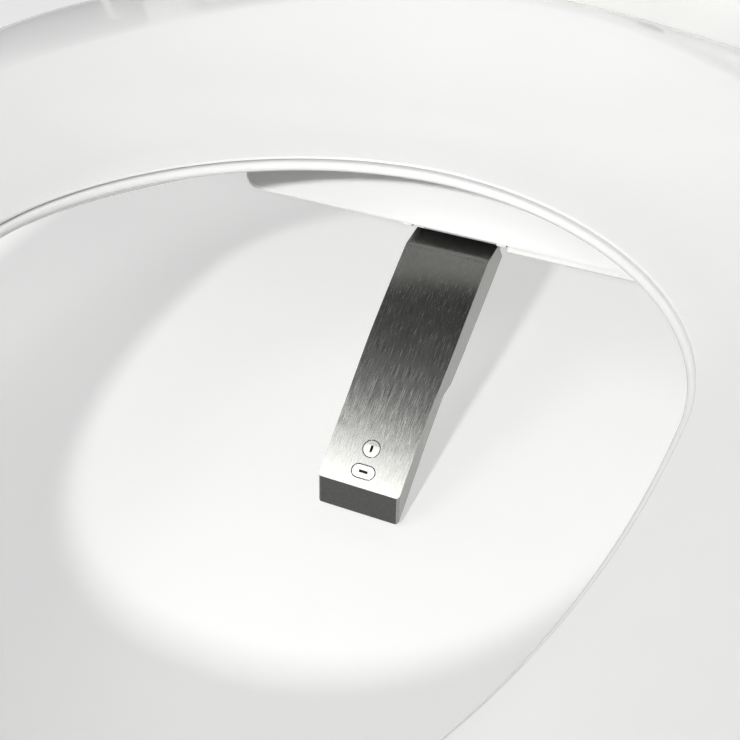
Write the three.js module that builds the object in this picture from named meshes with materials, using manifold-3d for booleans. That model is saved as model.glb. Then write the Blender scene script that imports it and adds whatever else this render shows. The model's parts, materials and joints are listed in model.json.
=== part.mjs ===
// Electric bidet seat for a floor-standing toilet.
// Millimetres. The origin is on the bowl's deck, midway between the two fixing bolts:
// +X to the right of someone facing the seat, +Y to the rear, +Z up.
// The lid stands open, the seat ring lies down and the spray arm is run out.

import * as THREE from 'three';
import { mergeVertices } from 'three/addons/utils/BufferGeometryUtils.js';
import Module from 'manifold-3d';

const wasm = await Module();
wasm.setup();

const degree = Math.PI / 180;

// ---- clearances ------------------------------------------------------------------------
const restGap = 0.3;          // between two pieces that rest on each other
const runGap = 0.5;           // round a piece that moves in its opening

// ---- seat ring -------------------------------------------------------------------------
const seamHeight = 35;        // seam round the opening, above the rim
const ringCentreY = -224;     // widest line of the ring
const openingCurve = { half: 104.3, rear: 99.5, front: 188, rearPower: 1.9, frontPower: 2.28 };
const crestCurve = { half: 160, rear: 170, front: 222, rearPower: 2.15, frontPower: 2.2 };
const outerCurve = { half: 184, rear: 180, front: 250, rearPower: 4, frontPower: 2.2 };
const frontCrest = 10;        // height of the dish's crest over the seam, at the front
const rearCrestRise = 18;     // what the crest gains along the sides
const rearHumpRise = 10;      // what it gains again at the rear
const seatWall = 2.6;
const seatEdgeRound = 1.5;    // rounded edge of the top shell at the opening
const beadRadius = 1.75;      // rounded lip of the bottom shell under the seam
const beadReach = 2;          // how far the lip stands inside the seam
const rollDrop = 8;           // depth of the rolled outer shoulder
const skirtHeight = 22;       // seam between the two shells at the sides, above the rim
const bottomHeight = 8.3;     // flat underside of the ring, above the rim
const rearUnderside = 24;     // underside where the ring passes over the front bay
const panelClear = 2.5;       // air between the front panel and the ring over it
const bumperHeight = 8;
const bumperPad = { half: 7, reach: 16, round: 6.9 };
const ringSegments = 60;
const foilSegments = 36;

// ---- hinge -----------------------------------------------------------------------------
const hingeY = -18;
const hingeZ = 84;
const pinRadius = 4;
const knuckleRadius = 10;
const seatArm = { inner: 128, outer: 152 };
const lidArm = { inner: 158, outer: 182 };
const lidOpenAngle = 105 * degree;

// ---- unit housing ----------------------------------------------------------------------
const unitHalfWidth = 200;
const unitFrontY = -40;
const unitRearY = 52;
const noseRadius = 22;        // the housing's front top edge, round the hinge line
const rearRound = 14;
const cornerRound = 14;
const unitWall = 2.4;
const splitHeight = 30;       // seam between the base pan and the top cover
const panFloor = 4;           // underside of the base pan above the deck
const pocket = { inner: 122, outer: 188, rearY: 9, floorZ: 57 };

// ---- front bay and its sloped panel ----------------------------------------------------
const bayHalfWidth = 86;
const bayCorner = 8;
const lipY = -107.1;          // front edge of the panel
const lipZ = 5.85;
const lipThickness = 1.2;
const kneeY = -93;            // where the panel's first, steeper stretch ends
const kneeSlope = 0.892;
const bayFloorY = -98;        // front edge of the bay's floor

// ---- spray arm -------------------------------------------------------------------------
const armTilt = 36.5 * degree;
const armOffset = -1.4;       // the arm's middle line stands a little left of the seat's
const armBendY = -111.4;      // the bend between the arm's heel and its top face
const armBendZ = -0.81;
const armCrown = 1.3;         // rise of the top face between the bend and the tip
const armHalfWidth = 15.3;
const headHalfWidth = 14.7;
const armLength = 88;
const headLength = 40;
const armTravel = 96;
const sleeveWall = 0.8;
const tipHeight = 10.9;
const heelLength = 9;
const heelDrop = 4.5;
const tailLength = 60;
const armHeelDepth = 13;      // underside of the sleeve at its heel, below the top plane
const armNeckDepth = 8.8;     // and where the head starts
const headDepth = 5.8;
const insertClearance = 0.25;
const roundInsert = { along: 74.5, radius: 2.9 };
const ovalInsert = { along: 82.6, length: 8.1, width: 4.5 };

// ---- rack and pinion -------------------------------------------------------------------
const gearModule = 1;
const pinionTeeth = 12;
const rackBackDepth = 8.3;    // rack's back face, below the arm's top plane
const rackBack = 1.75;
const rackHalfWidth = 4;
const pinionAlong = 54;       // pinion axis, up the slope from the bend
const gearBacklash = 0.3;
const shaftRadius = 1.8;

// ---- guide rail ------------------------------------------------------------------------
const railStart = 26;
const railEnd = 160;
const railFloorDepth = 15;
const railWall = 2;
const railSlot = { gearHalf: 6, gearReach: 9, shaftReach: 3 };

// ---- materials -------------------------------------------------------------------------
function plastic(color, roughness = 0.3) {
  return new THREE.MeshStandardMaterial({ color, roughness, metalness: 0 });
}
function metal(color, roughness = 0.3) {
  return new THREE.MeshStandardMaterial({ color, roughness, metalness: 1 });
}

// ---- solids ----------------------------------------------------------------------------
function toSolid(geometry) {
  const bare = geometry.clone();
  bare.deleteAttribute('normal');
  bare.deleteAttribute('uv');
  const merged = mergeVertices(bare, 1e-4);
  return new wasm.Manifold(new wasm.Mesh({
    numProp: 3,
    vertProperties: new Float32Array(merged.attributes.position.array),
    triVerts: new Uint32Array(merged.index.array),
  }));
}

function toGeometry(solid) {
  const mesh = solid.getMesh();
  const geometry = new THREE.BufferGeometry();
  geometry.setAttribute('position', new THREE.BufferAttribute(new Float32Array(mesh.vertProperties), 3));
  geometry.setIndex(new THREE.BufferAttribute(new Uint32Array(mesh.triVerts), 1));
  geometry.computeVertexNormals();
  return geometry;
}

function box(x, y, z) {
  const geometry = new THREE.BoxGeometry(x[1] - x[0], y[1] - y[0], z[1] - z[0]);
  geometry.translate((x[0] + x[1]) / 2, (y[0] + y[1]) / 2, (z[0] + z[1]) / 2);
  return toSolid(geometry);
}

const axisTurn = {
  x: new THREE.Matrix4().makeRotationZ(-Math.PI / 2),
  y: new THREE.Matrix4(),
  z: new THREE.Matrix4().makeRotationX(Math.PI / 2),
};

// A round bar along one axis: centre gives the two other coordinates, span the ends.
function rod(axis, centre, span, radius, sides = 24, endRadius = radius) {
  const geometry = new THREE.CylinderGeometry(endRadius, radius, span[1] - span[0], sides);
  geometry.applyMatrix4(axisTurn[axis]);
  const middle = (span[0] + span[1]) / 2;
  const place = { x: [middle, ...centre], y: [centre[0], middle, centre[1]], z: [...centre, middle] };
  geometry.translate(...place[axis]);
  return toSolid(geometry);
}

function outline(points) {
  return new THREE.Shape(points.map(([u, v]) => new THREE.Vector2(u, v)));
}

const extrudeBasis = {
  x: new THREE.Matrix4().makeBasis(
    new THREE.Vector3(0, 1, 0), new THREE.Vector3(0, 0, 1), new THREE.Vector3(1, 0, 0)),
  y: new THREE.Matrix4().makeBasis(
    new THREE.Vector3(0, 0, 1), new THREE.Vector3(1, 0, 0), new THREE.Vector3(0, 1, 0)),
  z: new THREE.Matrix4(),
};

// Extrudes a shape along an axis. Along x the shape is (y, z), along y (z, x), along z (x, y).
function prism(axis, shape, span, curveSegments = 5) {
  const depth = span[1] - span[0];
  const geometry = new THREE.ExtrudeGeometry(shape, { depth, bevelEnabled: false, curveSegments });
  geometry.translate(0, 0, span[0]);
  geometry.applyMatrix4(extrudeBasis[axis]);
  return toSolid(geometry);
}

function roundedRect(u, v, radius) {
  const shape = new THREE.Shape();
  shape.moveTo(u[0] + radius, v[0]);
  shape.lineTo(u[1] - radius, v[0]);
  shape.absarc(u[1] - radius, v[0] + radius, radius, -Math.PI / 2, 0);
  shape.lineTo(u[1], v[1] - radius);
  shape.absarc(u[1] - radius, v[1] - radius, radius, 0, Math.PI / 2);
  shape.lineTo(u[0] + radius, v[1]);
  shape.absarc(u[0] + radius, v[1] - radius, radius, Math.PI / 2, Math.PI);
  shape.lineTo(u[0], v[0] + radius);
  shape.absarc(u[0] + radius, v[0] + radius, radius, Math.PI, Math.PI * 1.5);
  return shape;
}

function union(...solids) {
  return solids.reduce((whole, piece) => whole.add(piece));
}

function both(make) {
  return make(1).add(make(-1));
}

function sided(side, near, far) {
  return side > 0 ? [near, far] : [-far, -near];
}

// ---- the ring's plan curves and section --------------------------------------------------
function reach(curve, angle) {
  const c = Math.cos(angle);
  const s = Math.sin(angle);
  const length = s >= 0 ? curve.rear : curve.front;
  const power = s >= 0 ? curve.rearPower : curve.frontPower;
  return (Math.abs(c / curve.half) ** power + Math.abs(s / length) ** power) ** (-1 / power);
}

function smoothstep(from, to, value) {
  const t = Math.min(Math.max((value - from) / (to - from), 0), 1);
  return t * t * (3 - 2 * t);
}

function crestHeight(angle) {
  const s = Math.sin(angle);
  const along = ((1 + s) / 2) ** 1.2;
  return frontCrest + rearCrestRise * along + rearHumpRise * Math.max(0, s) ** 6;
}

function panelTop(y) {
  const knee = lipZ + kneeSlope * (kneeY - lipY);
  return y < kneeY ? lipZ + kneeSlope * (y - lipY) : knee + Math.tan(armTilt) * (y - kneeY);
}

// Underside of the ring over a point, relative to the seam. It lifts over the front bay.
function underside(x, y) {
  const overBay = Math.max(rearUnderside, panelTop(y) + panelClear) - seamHeight;
  const flat = bottomHeight - seamHeight;
  const side = Math.max(smoothstep(bayHalfWidth + 25, bayHalfWidth + 45, Math.abs(x)),
    1 - smoothstep(-135, -112, y));
  return overBay + (flat - overBay) * side;
}

// The seam between the shells opens a little where it climbs, so that the gap square to it stays.
function seamGap(angle) {
  const rear = smoothstep(0.74, 0.85, Math.sin(angle));
  return restGap + 6 * rear * (1 - rear);
}

function skirtAt(angle) {
  const rear = smoothstep(0.74, 0.85, Math.sin(angle));
  const flat = skirtHeight - seamHeight;
  const outerY = ringCentreY + reach(outerCurve, angle) * Math.sin(angle);
  const edge = panelTop(outerY) + 2 * panelClear - seamHeight;
  return flat + (edge - flat) * rear;
}

// Height of the dished top over the seam, at a distance s out from the opening.
function dishAt(angle, s) {
  const span = reach(crestCurve, angle) - reach(openingCurve, angle) - 5;
  const u = Math.min(s / span, 1);
  const start = seatEdgeRound + 0.7;
  return start + (crestHeight(angle) - 1.5 - start) * (0.35 * u + 0.65 * u * u);
}

function cubic(p0, p1, p2, p3, steps) {
  const curve = new THREE.CubicBezierCurve(...[p0, p1, p2, p3].map((p) => new THREE.Vector2(...p)));
  return curve.getPoints(steps).map((p) => [p.x, p.y]);
}

// Moves an open path to its right-hand side by a distance.
function offsetPath(path, distance) {
  return path.map((point, i) => {
    const before = path[Math.max(i - 1, 0)];
    const after = path[Math.min(i + 1, path.length - 1)];
    const du = after[0] - before[0];
    const dv = after[1] - before[1];
    const length = Math.hypot(du, dv);
    return [point[0] + distance * dv / length, point[1] - distance * du / length];
  });
}

// Sweeps a closed section round the ring: section(angle) gives [distance out, height] pairs.
function ringLoft(curve, section, segments = ringSegments) {
  const positions = [];
  const index = [];
  let count = 0;
  for (let j = 0; j < segments; j += 1) {
    const angle = 2 * Math.PI * j / segments;
    const start = reach(curve, angle);
    const points = section(angle);
    count = points.length;
    for (const [s, z] of points) {
      positions.push((start + s) * Math.cos(angle), ringCentreY + (start + s) * Math.sin(angle),
        seamHeight + z);
    }
  }
  for (let j = 0; j < segments; j += 1) {
    const next = (j + 1) % segments;
    for (let i = 0; i < count; i += 1) {
      const k = (i + 1) % count;
      const [a, b, c, d] = [j * count + i, next * count + i, next * count + k, j * count + k];
      index.push(a, c, b, a, d, c);
    }
  }
  const geometry = new THREE.BufferGeometry();
  geometry.setAttribute('position', new THREE.BufferAttribute(new Float32Array(positions), 3));
  geometry.setIndex(index);
  return toSolid(geometry);
}

function topPath(angle) {
  const width = reach(outerCurve, angle) - reach(openingCurve, angle);
  const crest = reach(crestCurve, angle) - reach(openingCurve, angle);
  const height = crestHeight(angle);
  const dishEnd = crest - 5;
  const path = [[0, 0.3], [0, 1], [0.5, seatEdgeRound]];
  for (const u of [0.02, 0.35, 0.7]) path.push([u * dishEnd, dishAt(angle, u * dishEnd)]);
  const shoulder = [dishEnd, dishAt(angle, dishEnd)];
  path.push(...cubic(shoulder, [crest, height + 1.6], [width, height - 0.5], [width, height - rollDrop], 5));
  path.push([width, skirtAt(angle) + seamGap(angle)]);
  return path;
}

function topShellSection(angle) {
  const path = topPath(angle);
  const inner = offsetPath(path, seatWall).map(([s, z]) => [Math.max(s, 0.9), Math.max(z, 0.3)]);
  const last = path.length - 1;
  inner[last] = [path[last][0] - seatWall, path[last][1]];
  const back = inner.slice(4).reverse();
  return [...path, ...back, [2.4, 0.3]];
}

// How far out the shell falling away from its lip reaches the flat underside. It falls gently
// at the rear, so that nothing of it shows under the lip, and steeply at the front.
function retreat(angle, from, under) {
  const fall = 0.5 + 0.9 * ((1 - Math.sin(angle)) / 2) ** 1.5;
  let s = from[0] + 6;
  while (s < 55 && from[1] - fall * (s - from[0]) > under(s)) s += 1;
  return s;
}

function bottomShellSection(angle) {
  const start = reach(openingCurve, angle);
  const width = reach(outerCurve, angle) - start;
  const under = (s) => underside((start + s) * Math.cos(angle), ringCentreY + (start + s) * Math.sin(angle));
  const skirt = skirtAt(angle);
  const centre = [beadRadius - beadReach, -0.1 - beadRadius];
  const bead = [80, 130, 175, 220, 270].map((a) => [
    centre[0] + beadRadius * Math.cos(a * degree), centre[1] + beadRadius * Math.sin(a * degree)]);
  const edge = width - 0.2;
  const wall = seatWall - 0.2;
  const lipFoot = [3.5, -3.7];
  const first = retreat(angle, lipFoot, under);
  const lower = [lipFoot];
  const upper = [[9, -2.6], [9, -0.1]];
  const flatEnd = width - 10;
  for (const s of [first, (first + flatEnd) / 2, flatEnd]) {
    lower.push([s, under(s)]);
    upper.unshift([s + (s === first ? 1 : 0), under(s) + wall]);
  }
  const foot = under(width);
  const bend = Math.min(6, (skirt - foot) * 0.6);
  lower.push([width - 3, foot + bend * 0.25], [edge, foot + bend], [edge, skirt]);
  upper.unshift([edge - wall, skirt], [edge - wall, foot + bend + wall * 0.4], [width - 6, foot + wall + 0.3]);
  return [...bead, ...lower, ...upper].reverse();
}

function heaterSection(angle) {
  const crest = reach(crestCurve, angle) - reach(openingCurve, angle);
  const stations = [12, 12 + (crest - 24) * 0.35, 12 + (crest - 24) * 0.7, crest - 12];
  const depth = seatWall * 1.5 + restGap;
  const top = stations.map((s) => [s, dishAt(angle, s) - depth]);
  const bottom = stations.map((s) => [s, dishAt(angle, s) - depth - 0.5]).reverse();
  return [...top, ...bottom];
}

// ---- the model ---------------------------------------------------------------------------
const group = new THREE.Group();
const armGroup = new THREE.Group();
armGroup.position.set(armOffset, armBendY, armBendZ);
armGroup.rotation.x = armTilt;
const lidGroup = new THREE.Group();
lidGroup.position.set(0, hingeY, hingeZ);
lidGroup.rotation.x = -lidOpenAngle;
const lidClosed = new THREE.Group();
lidClosed.position.set(0, -hingeY, -hingeZ);
lidGroup.add(lidClosed);
group.add(armGroup, lidGroup);

function add(name, solid, material, parent = group) {
  const mesh = new THREE.Mesh(toGeometry(solid), material);
  mesh.name = name;
  parent.add(mesh);
}

const white = 0xf2f2f0;
const paleGrey = 0xc9cbcc;
const darkGrey = 0x3a3c3e;

// ---- seat ring ---------------------------------------------------------------------------
// A hinge arm stands in the bottom shell and runs out through the ring's rear wall.
const armFoot = bottomHeight + 2.9;
const seatArmLine = {
  front: -78, frontTop: 46, shoulder: -58, shoulderTop: 55, footRear: -56,
  heel: [-51, 34], elbow: [-42.5, 61], chin: [-32, 66],
};

function seatArmSolid(side, grow = 0) {
  const span = sided(side, seatArm.inner - grow, seatArm.outer + grow);
  const knuckle = rod('x', [hingeY, hingeZ], span, knuckleRadius + grow);
  const { front, frontTop, shoulder, shoulderTop, footRear, heel, elbow, chin } = seatArmLine;
  const arm = prism('x', outline([
    [front - grow, armFoot - grow], [footRear + grow, armFoot - grow], [heel[0] + grow, heel[1] - grow],
    [elbow[0] + grow, elbow[1] - grow], [chin[0], chin[1] - grow],
    [hingeY + knuckleRadius - 2 + grow, hingeZ - 6], [hingeY - 4, hingeZ + knuckleRadius - 1 + grow],
    [shoulder, shoulderTop + grow], [front - grow, frontTop + grow]]), span);
  return knuckle.add(arm);
}

const pinClearance = 0.35;
const pinBore = rod('x', [hingeY, hingeZ], [-pocket.outer - 10, pocket.outer + 10], pinRadius + pinClearance);

function seatTopShell() {
  const notch = both((side) => seatArmSolid(side, runGap));
  return ringLoft(openingCurve, topShellSection).subtract(notch);
}

// The bottom of the ring is closed by two mouldings: the shell, and a cover over the front bay
// that gives access to the heater's wires.
const rearCover = { half: 104, front: -112 };

function rearCoverSpace(grow) {
  const { half, front } = rearCover;
  return box([-half - grow, half + grow], [front - grow, 0], [0, hingeZ]);
}

function seatBottom() {
  const notch = both((side) => seatArmSolid(side, restGap));
  return ringLoft(openingCurve, bottomShellSection).subtract(notch);
}

function ringSpot(angle, inward) {
  const middle = (reach(openingCurve, angle) + reach(outerCurve, angle)) / 2 - inward;
  return [middle * Math.cos(angle), ringCentreY + middle * Math.sin(angle)];
}

function seatBumper(angle) {
  const [x, y] = ringSpot(angle * degree, 0);
  const pad = prism('z', roundedRect([-bumperPad.half, bumperPad.half], [-bumperPad.reach, bumperPad.reach],
    bumperPad.round), [0, bumperHeight]);
  return pad.rotate([0, 0, angle]).translate([x, y, 0]);
}

add('seat_top_shell', seatTopShell(), plastic(white, 0.12));
const seatBottomWhole = seatBottom();
add('seat_bottom_shell', seatBottomWhole.subtract(rearCoverSpace(restGap)), plastic(white, 0.18));
add('seat_rear_cover', seatBottomWhole.intersect(rearCoverSpace(0)), plastic(white, 0.18));
add('seat_arm_left', seatArmSolid(-1).subtract(pinBore), plastic(white, 0.18));
add('seat_arm_right', seatArmSolid(1).subtract(pinBore), plastic(white, 0.18));
add('seat_heater_foil', ringLoft(openingCurve, heaterSection, foilSegments), metal(0xb9bcc0, 0.4));
const seatBumperAngles = { front_left: -125, front_right: -55, rear_right: -8, rear_left: 188 };
for (const [place, angle] of Object.entries(seatBumperAngles)) {
  add(`seat_bumper_${place}`, seatBumper(angle), plastic(0xd8d8d4, 0.7));
}

// ---- lid, modelled closed and then swung open -----------------------------------------------
const lidWall = 2.8;
const lidCurve = { half: 190, rear: 178, front: 256, rearPower: 6, frontPower: 2.2 };
const lidGapOverCrest = 5;
const lidDome = 80;           // top of the lid over its middle, above the rim
const lidSkirt = 13;
const lidRearSkirt = 4.8;
const lidRound = 6;
const lidBumperRadius = 6;

function lidEdge(angle) {
  return seamHeight + crestHeight(angle) + lidGapOverCrest + lidWall;
}

// The skirt is short at the rear, where the lid swings past the ring.
function lidSkirtAt(angle) {
  return lidSkirt + (lidRearSkirt - lidSkirt) * smoothstep(0.66, 0.8, Math.sin(angle));
}

function lidRoundAt(angle) {
  return Math.min(lidRound, lidSkirtAt(angle) * 0.75);
}

function lidTop(angle, share) {
  return lidEdge(angle) * share * share + lidDome * (1 - share * share);
}

// A capped shell: rings of points from the middle of the top, over the edge and back below.
function domeLoft(curve, rings, topZ, bottomZ, segments = ringSegments) {
  const positions = [0, ringCentreY, topZ, 0, ringCentreY, bottomZ];
  const index = [];
  for (let j = 0; j < segments; j += 1) {
    const angle = 2 * Math.PI * j / segments;
    for (const ring of rings) {
      const [r, z] = ring(angle);
      positions.push(r * Math.cos(angle), ringCentreY + r * Math.sin(angle), z);
    }
  }
  const n = rings.length;
  const at = (j, i) => 2 + (j % segments) * n + i;
  for (let j = 0; j < segments; j += 1) {
    index.push(0, at(j, 0), at(j + 1, 0), 1, at(j + 1, n - 1), at(j, n - 1));
    for (let i = 0; i < n - 1; i += 1) {
      index.push(at(j, i), at(j, i + 1), at(j + 1, i + 1), at(j, i), at(j + 1, i + 1), at(j + 1, i));
    }
  }
  const geometry = new THREE.BufferGeometry();
  geometry.setAttribute('position', new THREE.BufferAttribute(new Float32Array(positions), 3));
  geometry.setIndex(index);
  return toSolid(geometry);
}

const lidArmLine = {
  front: -112, frontFoot: 62, frontTop: 67, knee: [-66, 61], chin: [-40, 68], back: [-56, 84],
};

function lidArmSolid(side) {
  const span = sided(side, lidArm.inner, lidArm.outer);
  const knuckle = rod('x', [hingeY, hingeZ], span, knuckleRadius);
  const { front, frontFoot, frontTop, knee, chin, back } = lidArmLine;
  const arm = prism('x', outline([
    [front, frontFoot], knee, chin, [hingeY + 5, hingeZ - 8.6], [hingeY + 2, hingeZ + 9.8], back,
    [front, frontTop]]), span);
  return knuckle.add(arm);
}

function lidShell() {
  const shares = [0.3, 0.6, 0.85];
  const full = (angle) => reach(lidCurve, angle);
  const rings = [];
  for (const share of shares) rings.push((a) => [full(a) * share, lidTop(a, share)]);
  rings.push((a) => [full(a) - lidRoundAt(a), lidTop(a, 1)]);
  rings.push((a) => [full(a) - lidRoundAt(a) * 0.3, lidTop(a, 1) - lidRoundAt(a) * 0.3]);
  rings.push((a) => [full(a), lidTop(a, 1) - lidRoundAt(a)]);
  rings.push((a) => [full(a), lidTop(a, 1) - lidSkirtAt(a)]);
  rings.push((a) => [full(a) - lidWall, lidTop(a, 1) - lidSkirtAt(a)]);
  rings.push((a) => [full(a) - lidWall, lidTop(a, 1) - lidWall - lidRoundAt(a) * 0.2]);
  rings.push((a) => [full(a) - lidWall - lidRoundAt(a) * 0.7, lidTop(a, 1) - lidWall]);
  for (const share of [...shares].reverse()) rings.push((a) => [full(a) * share, lidTop(a, share) - lidWall]);
  const shell = domeLoft(lidCurve, rings, lidDome, lidDome - lidWall);
  return shell.add(both(lidArmSolid)).subtract(pinBore);
}

function lidBumper(angle) {
  const r = reach(crestCurve, angle);
  const share = r / reach(lidCurve, angle);
  const z = [seamHeight + crestHeight(angle) + 1, lidTop(angle, share) - lidWall - restGap - 1.8];
  return rod('z', [r * Math.cos(angle), ringCentreY + r * Math.sin(angle)], z, lidBumperRadius, 16);
}

add('lid', lidShell(), plastic(white, 0.12), lidClosed);
add('lid_bumper_left', lidBumper(-130 * degree), plastic(0xd8d8d4, 0.7), lidClosed);
add('lid_bumper_right', lidBumper(-50 * degree), plastic(0xd8d8d4, 0.7), lidClosed);

// ---- hinge pins and dampers -------------------------------------------------------------
const pinHead = { length: 3.5, radius: 6 };
const pinInnerEnd = pocket.inner - unitWall - 6;
const pinOuterEnd = pocket.outer + 6;
const damperSize = { length: 43.5, radius: 11, flange: 5.5, flangeRear: 19, flangeHalf: 9 };

function hingePin(side) {
  const shank = rod('x', [hingeY, hingeZ], sided(side, pinInnerEnd, pinOuterEnd), pinRadius, 16);
  const head = rod('x', [hingeY, hingeZ],
    sided(side, pinInnerEnd - pinHead.length, pinInnerEnd + restGap), pinHead.radius, 16);
  return shank.add(head);
}

function damper(side) {
  const outer = pinInnerEnd - pinHead.length - restGap;
  const { length, radius, flange, flangeRear, flangeHalf } = damperSize;
  const body = rod('x', [hingeY, hingeZ], sided(side, outer - length, outer), radius, 16);
  const plate = box(sided(side, outer - flange, outer), [hingeY - radius, hingeY + flangeRear],
    [hingeZ - flangeHalf, hingeZ + flangeHalf]);
  return body.add(plate);
}

add('hinge_pin_left', hingePin(-1), metal(0xb8bbbe, 0.25));
add('hinge_pin_right', hingePin(1), metal(0xb8bbbe, 0.25));
add('lid_damper', damper(-1), plastic(darkGrey, 0.5));
add('seat_damper', damper(1), plastic(darkGrey, 0.5));

// ---- top cover --------------------------------------------------------------------------
function housing(inset, bottom) {
  const [front, rear] = [unitFrontY + inset, unitRearY - inset];
  const [half, nose, back] = [unitHalfWidth - inset, noseRadius - inset, rearRound - inset];
  const side = new THREE.Shape();
  side.moveTo(rear, bottom);
  side.lineTo(rear, hingeZ + noseRadius - rearRound);
  side.absarc(rear - back, hingeZ + noseRadius - rearRound, back, 0, Math.PI / 2);
  side.lineTo(hingeY, hingeZ + nose);
  side.absarc(hingeY, hingeZ, nose, Math.PI / 2, Math.PI);
  side.lineTo(front, bottom);
  const plan = roundedRect([-half, half], [front, rear], cornerRound - inset);
  const face = roundedRect([bottom - 40, hingeZ + noseRadius - inset], [-half, half], cornerRound - inset);
  const tall = [bottom - 1, hingeZ + noseRadius + 1];
  const body = prism('x', side, [-half, half]);
  return body.intersect(prism('z', plan, tall)).intersect(prism('y', face, [front - 1, rear + 1]));
}

function pocketBox(side, grow = 0) {
  return box(sided(side, pocket.inner - grow, pocket.outer + grow),
    [unitFrontY - 10, pocket.rearY + grow], [pocket.floorZ - grow, hingeZ + noseRadius + 10]);
}

const [sensorX, sensorZ, sensorRadius] = [44, 80, 5];
const buttonY = [-18, 4, 26];
const buttonZ = 43;
const buttonRadius = 6;

function topCover() {
  const pocketWalls = both((side) => pocketBox(side, unitWall));
  const hollow = housing(unitWall, splitHeight - 5).subtract(pocketWalls);
  const bayDoor = prism('x', outline([
    [unitFrontY - 5, splitHeight - 5], [unitFrontY + 5, splitHeight - 5],
    [unitFrontY + 5, panelTop(unitFrontY) + restGap], [unitFrontY - 5, panelTop(unitFrontY) + restGap]]),
  [-bayHalfWidth - restGap, bayHalfWidth + restGap]);
  let cover = housing(0, splitHeight).subtract(hollow).subtract(both((side) => pocketBox(side)));
  const boreEnd = pinOuterEnd + 1;
  const coverBore = rod('x', [hingeY, hingeZ], [-boreEnd, boreEnd], pinRadius + pinClearance);
  cover = cover.subtract(bayDoor).subtract(coverBore);
  cover = cover.subtract(rod('y', [sensorX, sensorZ], [unitFrontY - 1, unitFrontY + 4],
    sensorRadius + restGap));
  for (const y of buttonY) {
    cover = cover.subtract(rod('x', [y, buttonZ], [unitHalfWidth - 6, unitHalfWidth + 2],
      buttonRadius + runGap));
  }
  return cover;
}

add('top_cover', topCover(), plastic(white, 0.15));

// ---- front panel over the bay -------------------------------------------------------------
const panelSheet = 2.3;
const panelCheek = { front: -104, bottom: 6.8, frontTop: 7.6 };

function frontPanel() {
  const rear = unitFrontY - restGap;
  const lower = panelSheet / Math.cos(armTilt);
  const sheet = prism('x', outline([
    [lipY, lipZ - lipThickness], [kneeY + 1.2, panelTop(kneeY + 1.2) - lower], [rear, panelTop(rear) - lower],
    [rear, panelTop(rear)], [kneeY, panelTop(kneeY)], [lipY, lipZ]]), [-bayHalfWidth, bayHalfWidth]);
  const { front, bottom, frontTop } = panelCheek;
  const cheek = (side) => prism('x', outline([
    [front, bottom], [rear, bottom], [rear, panelTop(rear) - 1], [kneeY, panelTop(kneeY) - 1],
    [front, frontTop]]),
  sided(side, bayHalfWidth - unitWall, bayHalfWidth));
  const plan = roundedRect([-bayHalfWidth, bayHalfWidth], [lipY, unitFrontY + 20], bayCorner);
  return sheet.add(both(cheek)).intersect(prism('z', plan, [0, 80]));
}

add('front_panel', frontPanel(), plastic(white, 0.15));

// ---- base pan -----------------------------------------------------------------------------
const channel = { half: 102, front: -27, rear: 27, height: 12 };
const railAt = (along, depth) => [
  armBendY + along * Math.cos(armTilt) + depth * Math.sin(armTilt),
  armBendZ + along * Math.sin(armTilt) - depth * Math.cos(armTilt)];
const pinionDepth = rackBackDepth + rackBack + 1.25 * gearModule + gearModule * pinionTeeth / 2;
const pinionPlace = railAt(pinionAlong, pinionDepth);
const armSlot = { half: 21.5, rear: -72 };
const dryerMouth = { inner: 19.5, outer: 77, rear: -86 };
const filterBay = { front: -22, rear: 14, bottom: 8, top: 26, inner: 128 };
const inletPlace = [36, 18];
const inletRadius = 10.2;
const releasePlace = [32, 18];
const boardHeight = 31;
const boardPosts = { x: [111, 181], y: [19, 42], radius: 3 };
const railPosts = { front: 66, rear: 146, half: 13, thickness: 4 };
const glandInset = 28;
const glandPlace = [-unitHalfWidth + glandInset, 18];
const glandRadius = 6;

function railPost(along, bottom) {
  const [y, z] = railAt(along, railFloorDepth + railWall);
  const slope = Math.tan(armTilt);
  const half = railPosts.thickness / 2;
  const top = z - restGap - 0.1;
  return prism('x', outline([
    [y - half, bottom], [y + half, bottom], [y + half, top + half * slope], [y - half, top - half * slope]]),
  [-railPosts.half, railPosts.half]);
}

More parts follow.
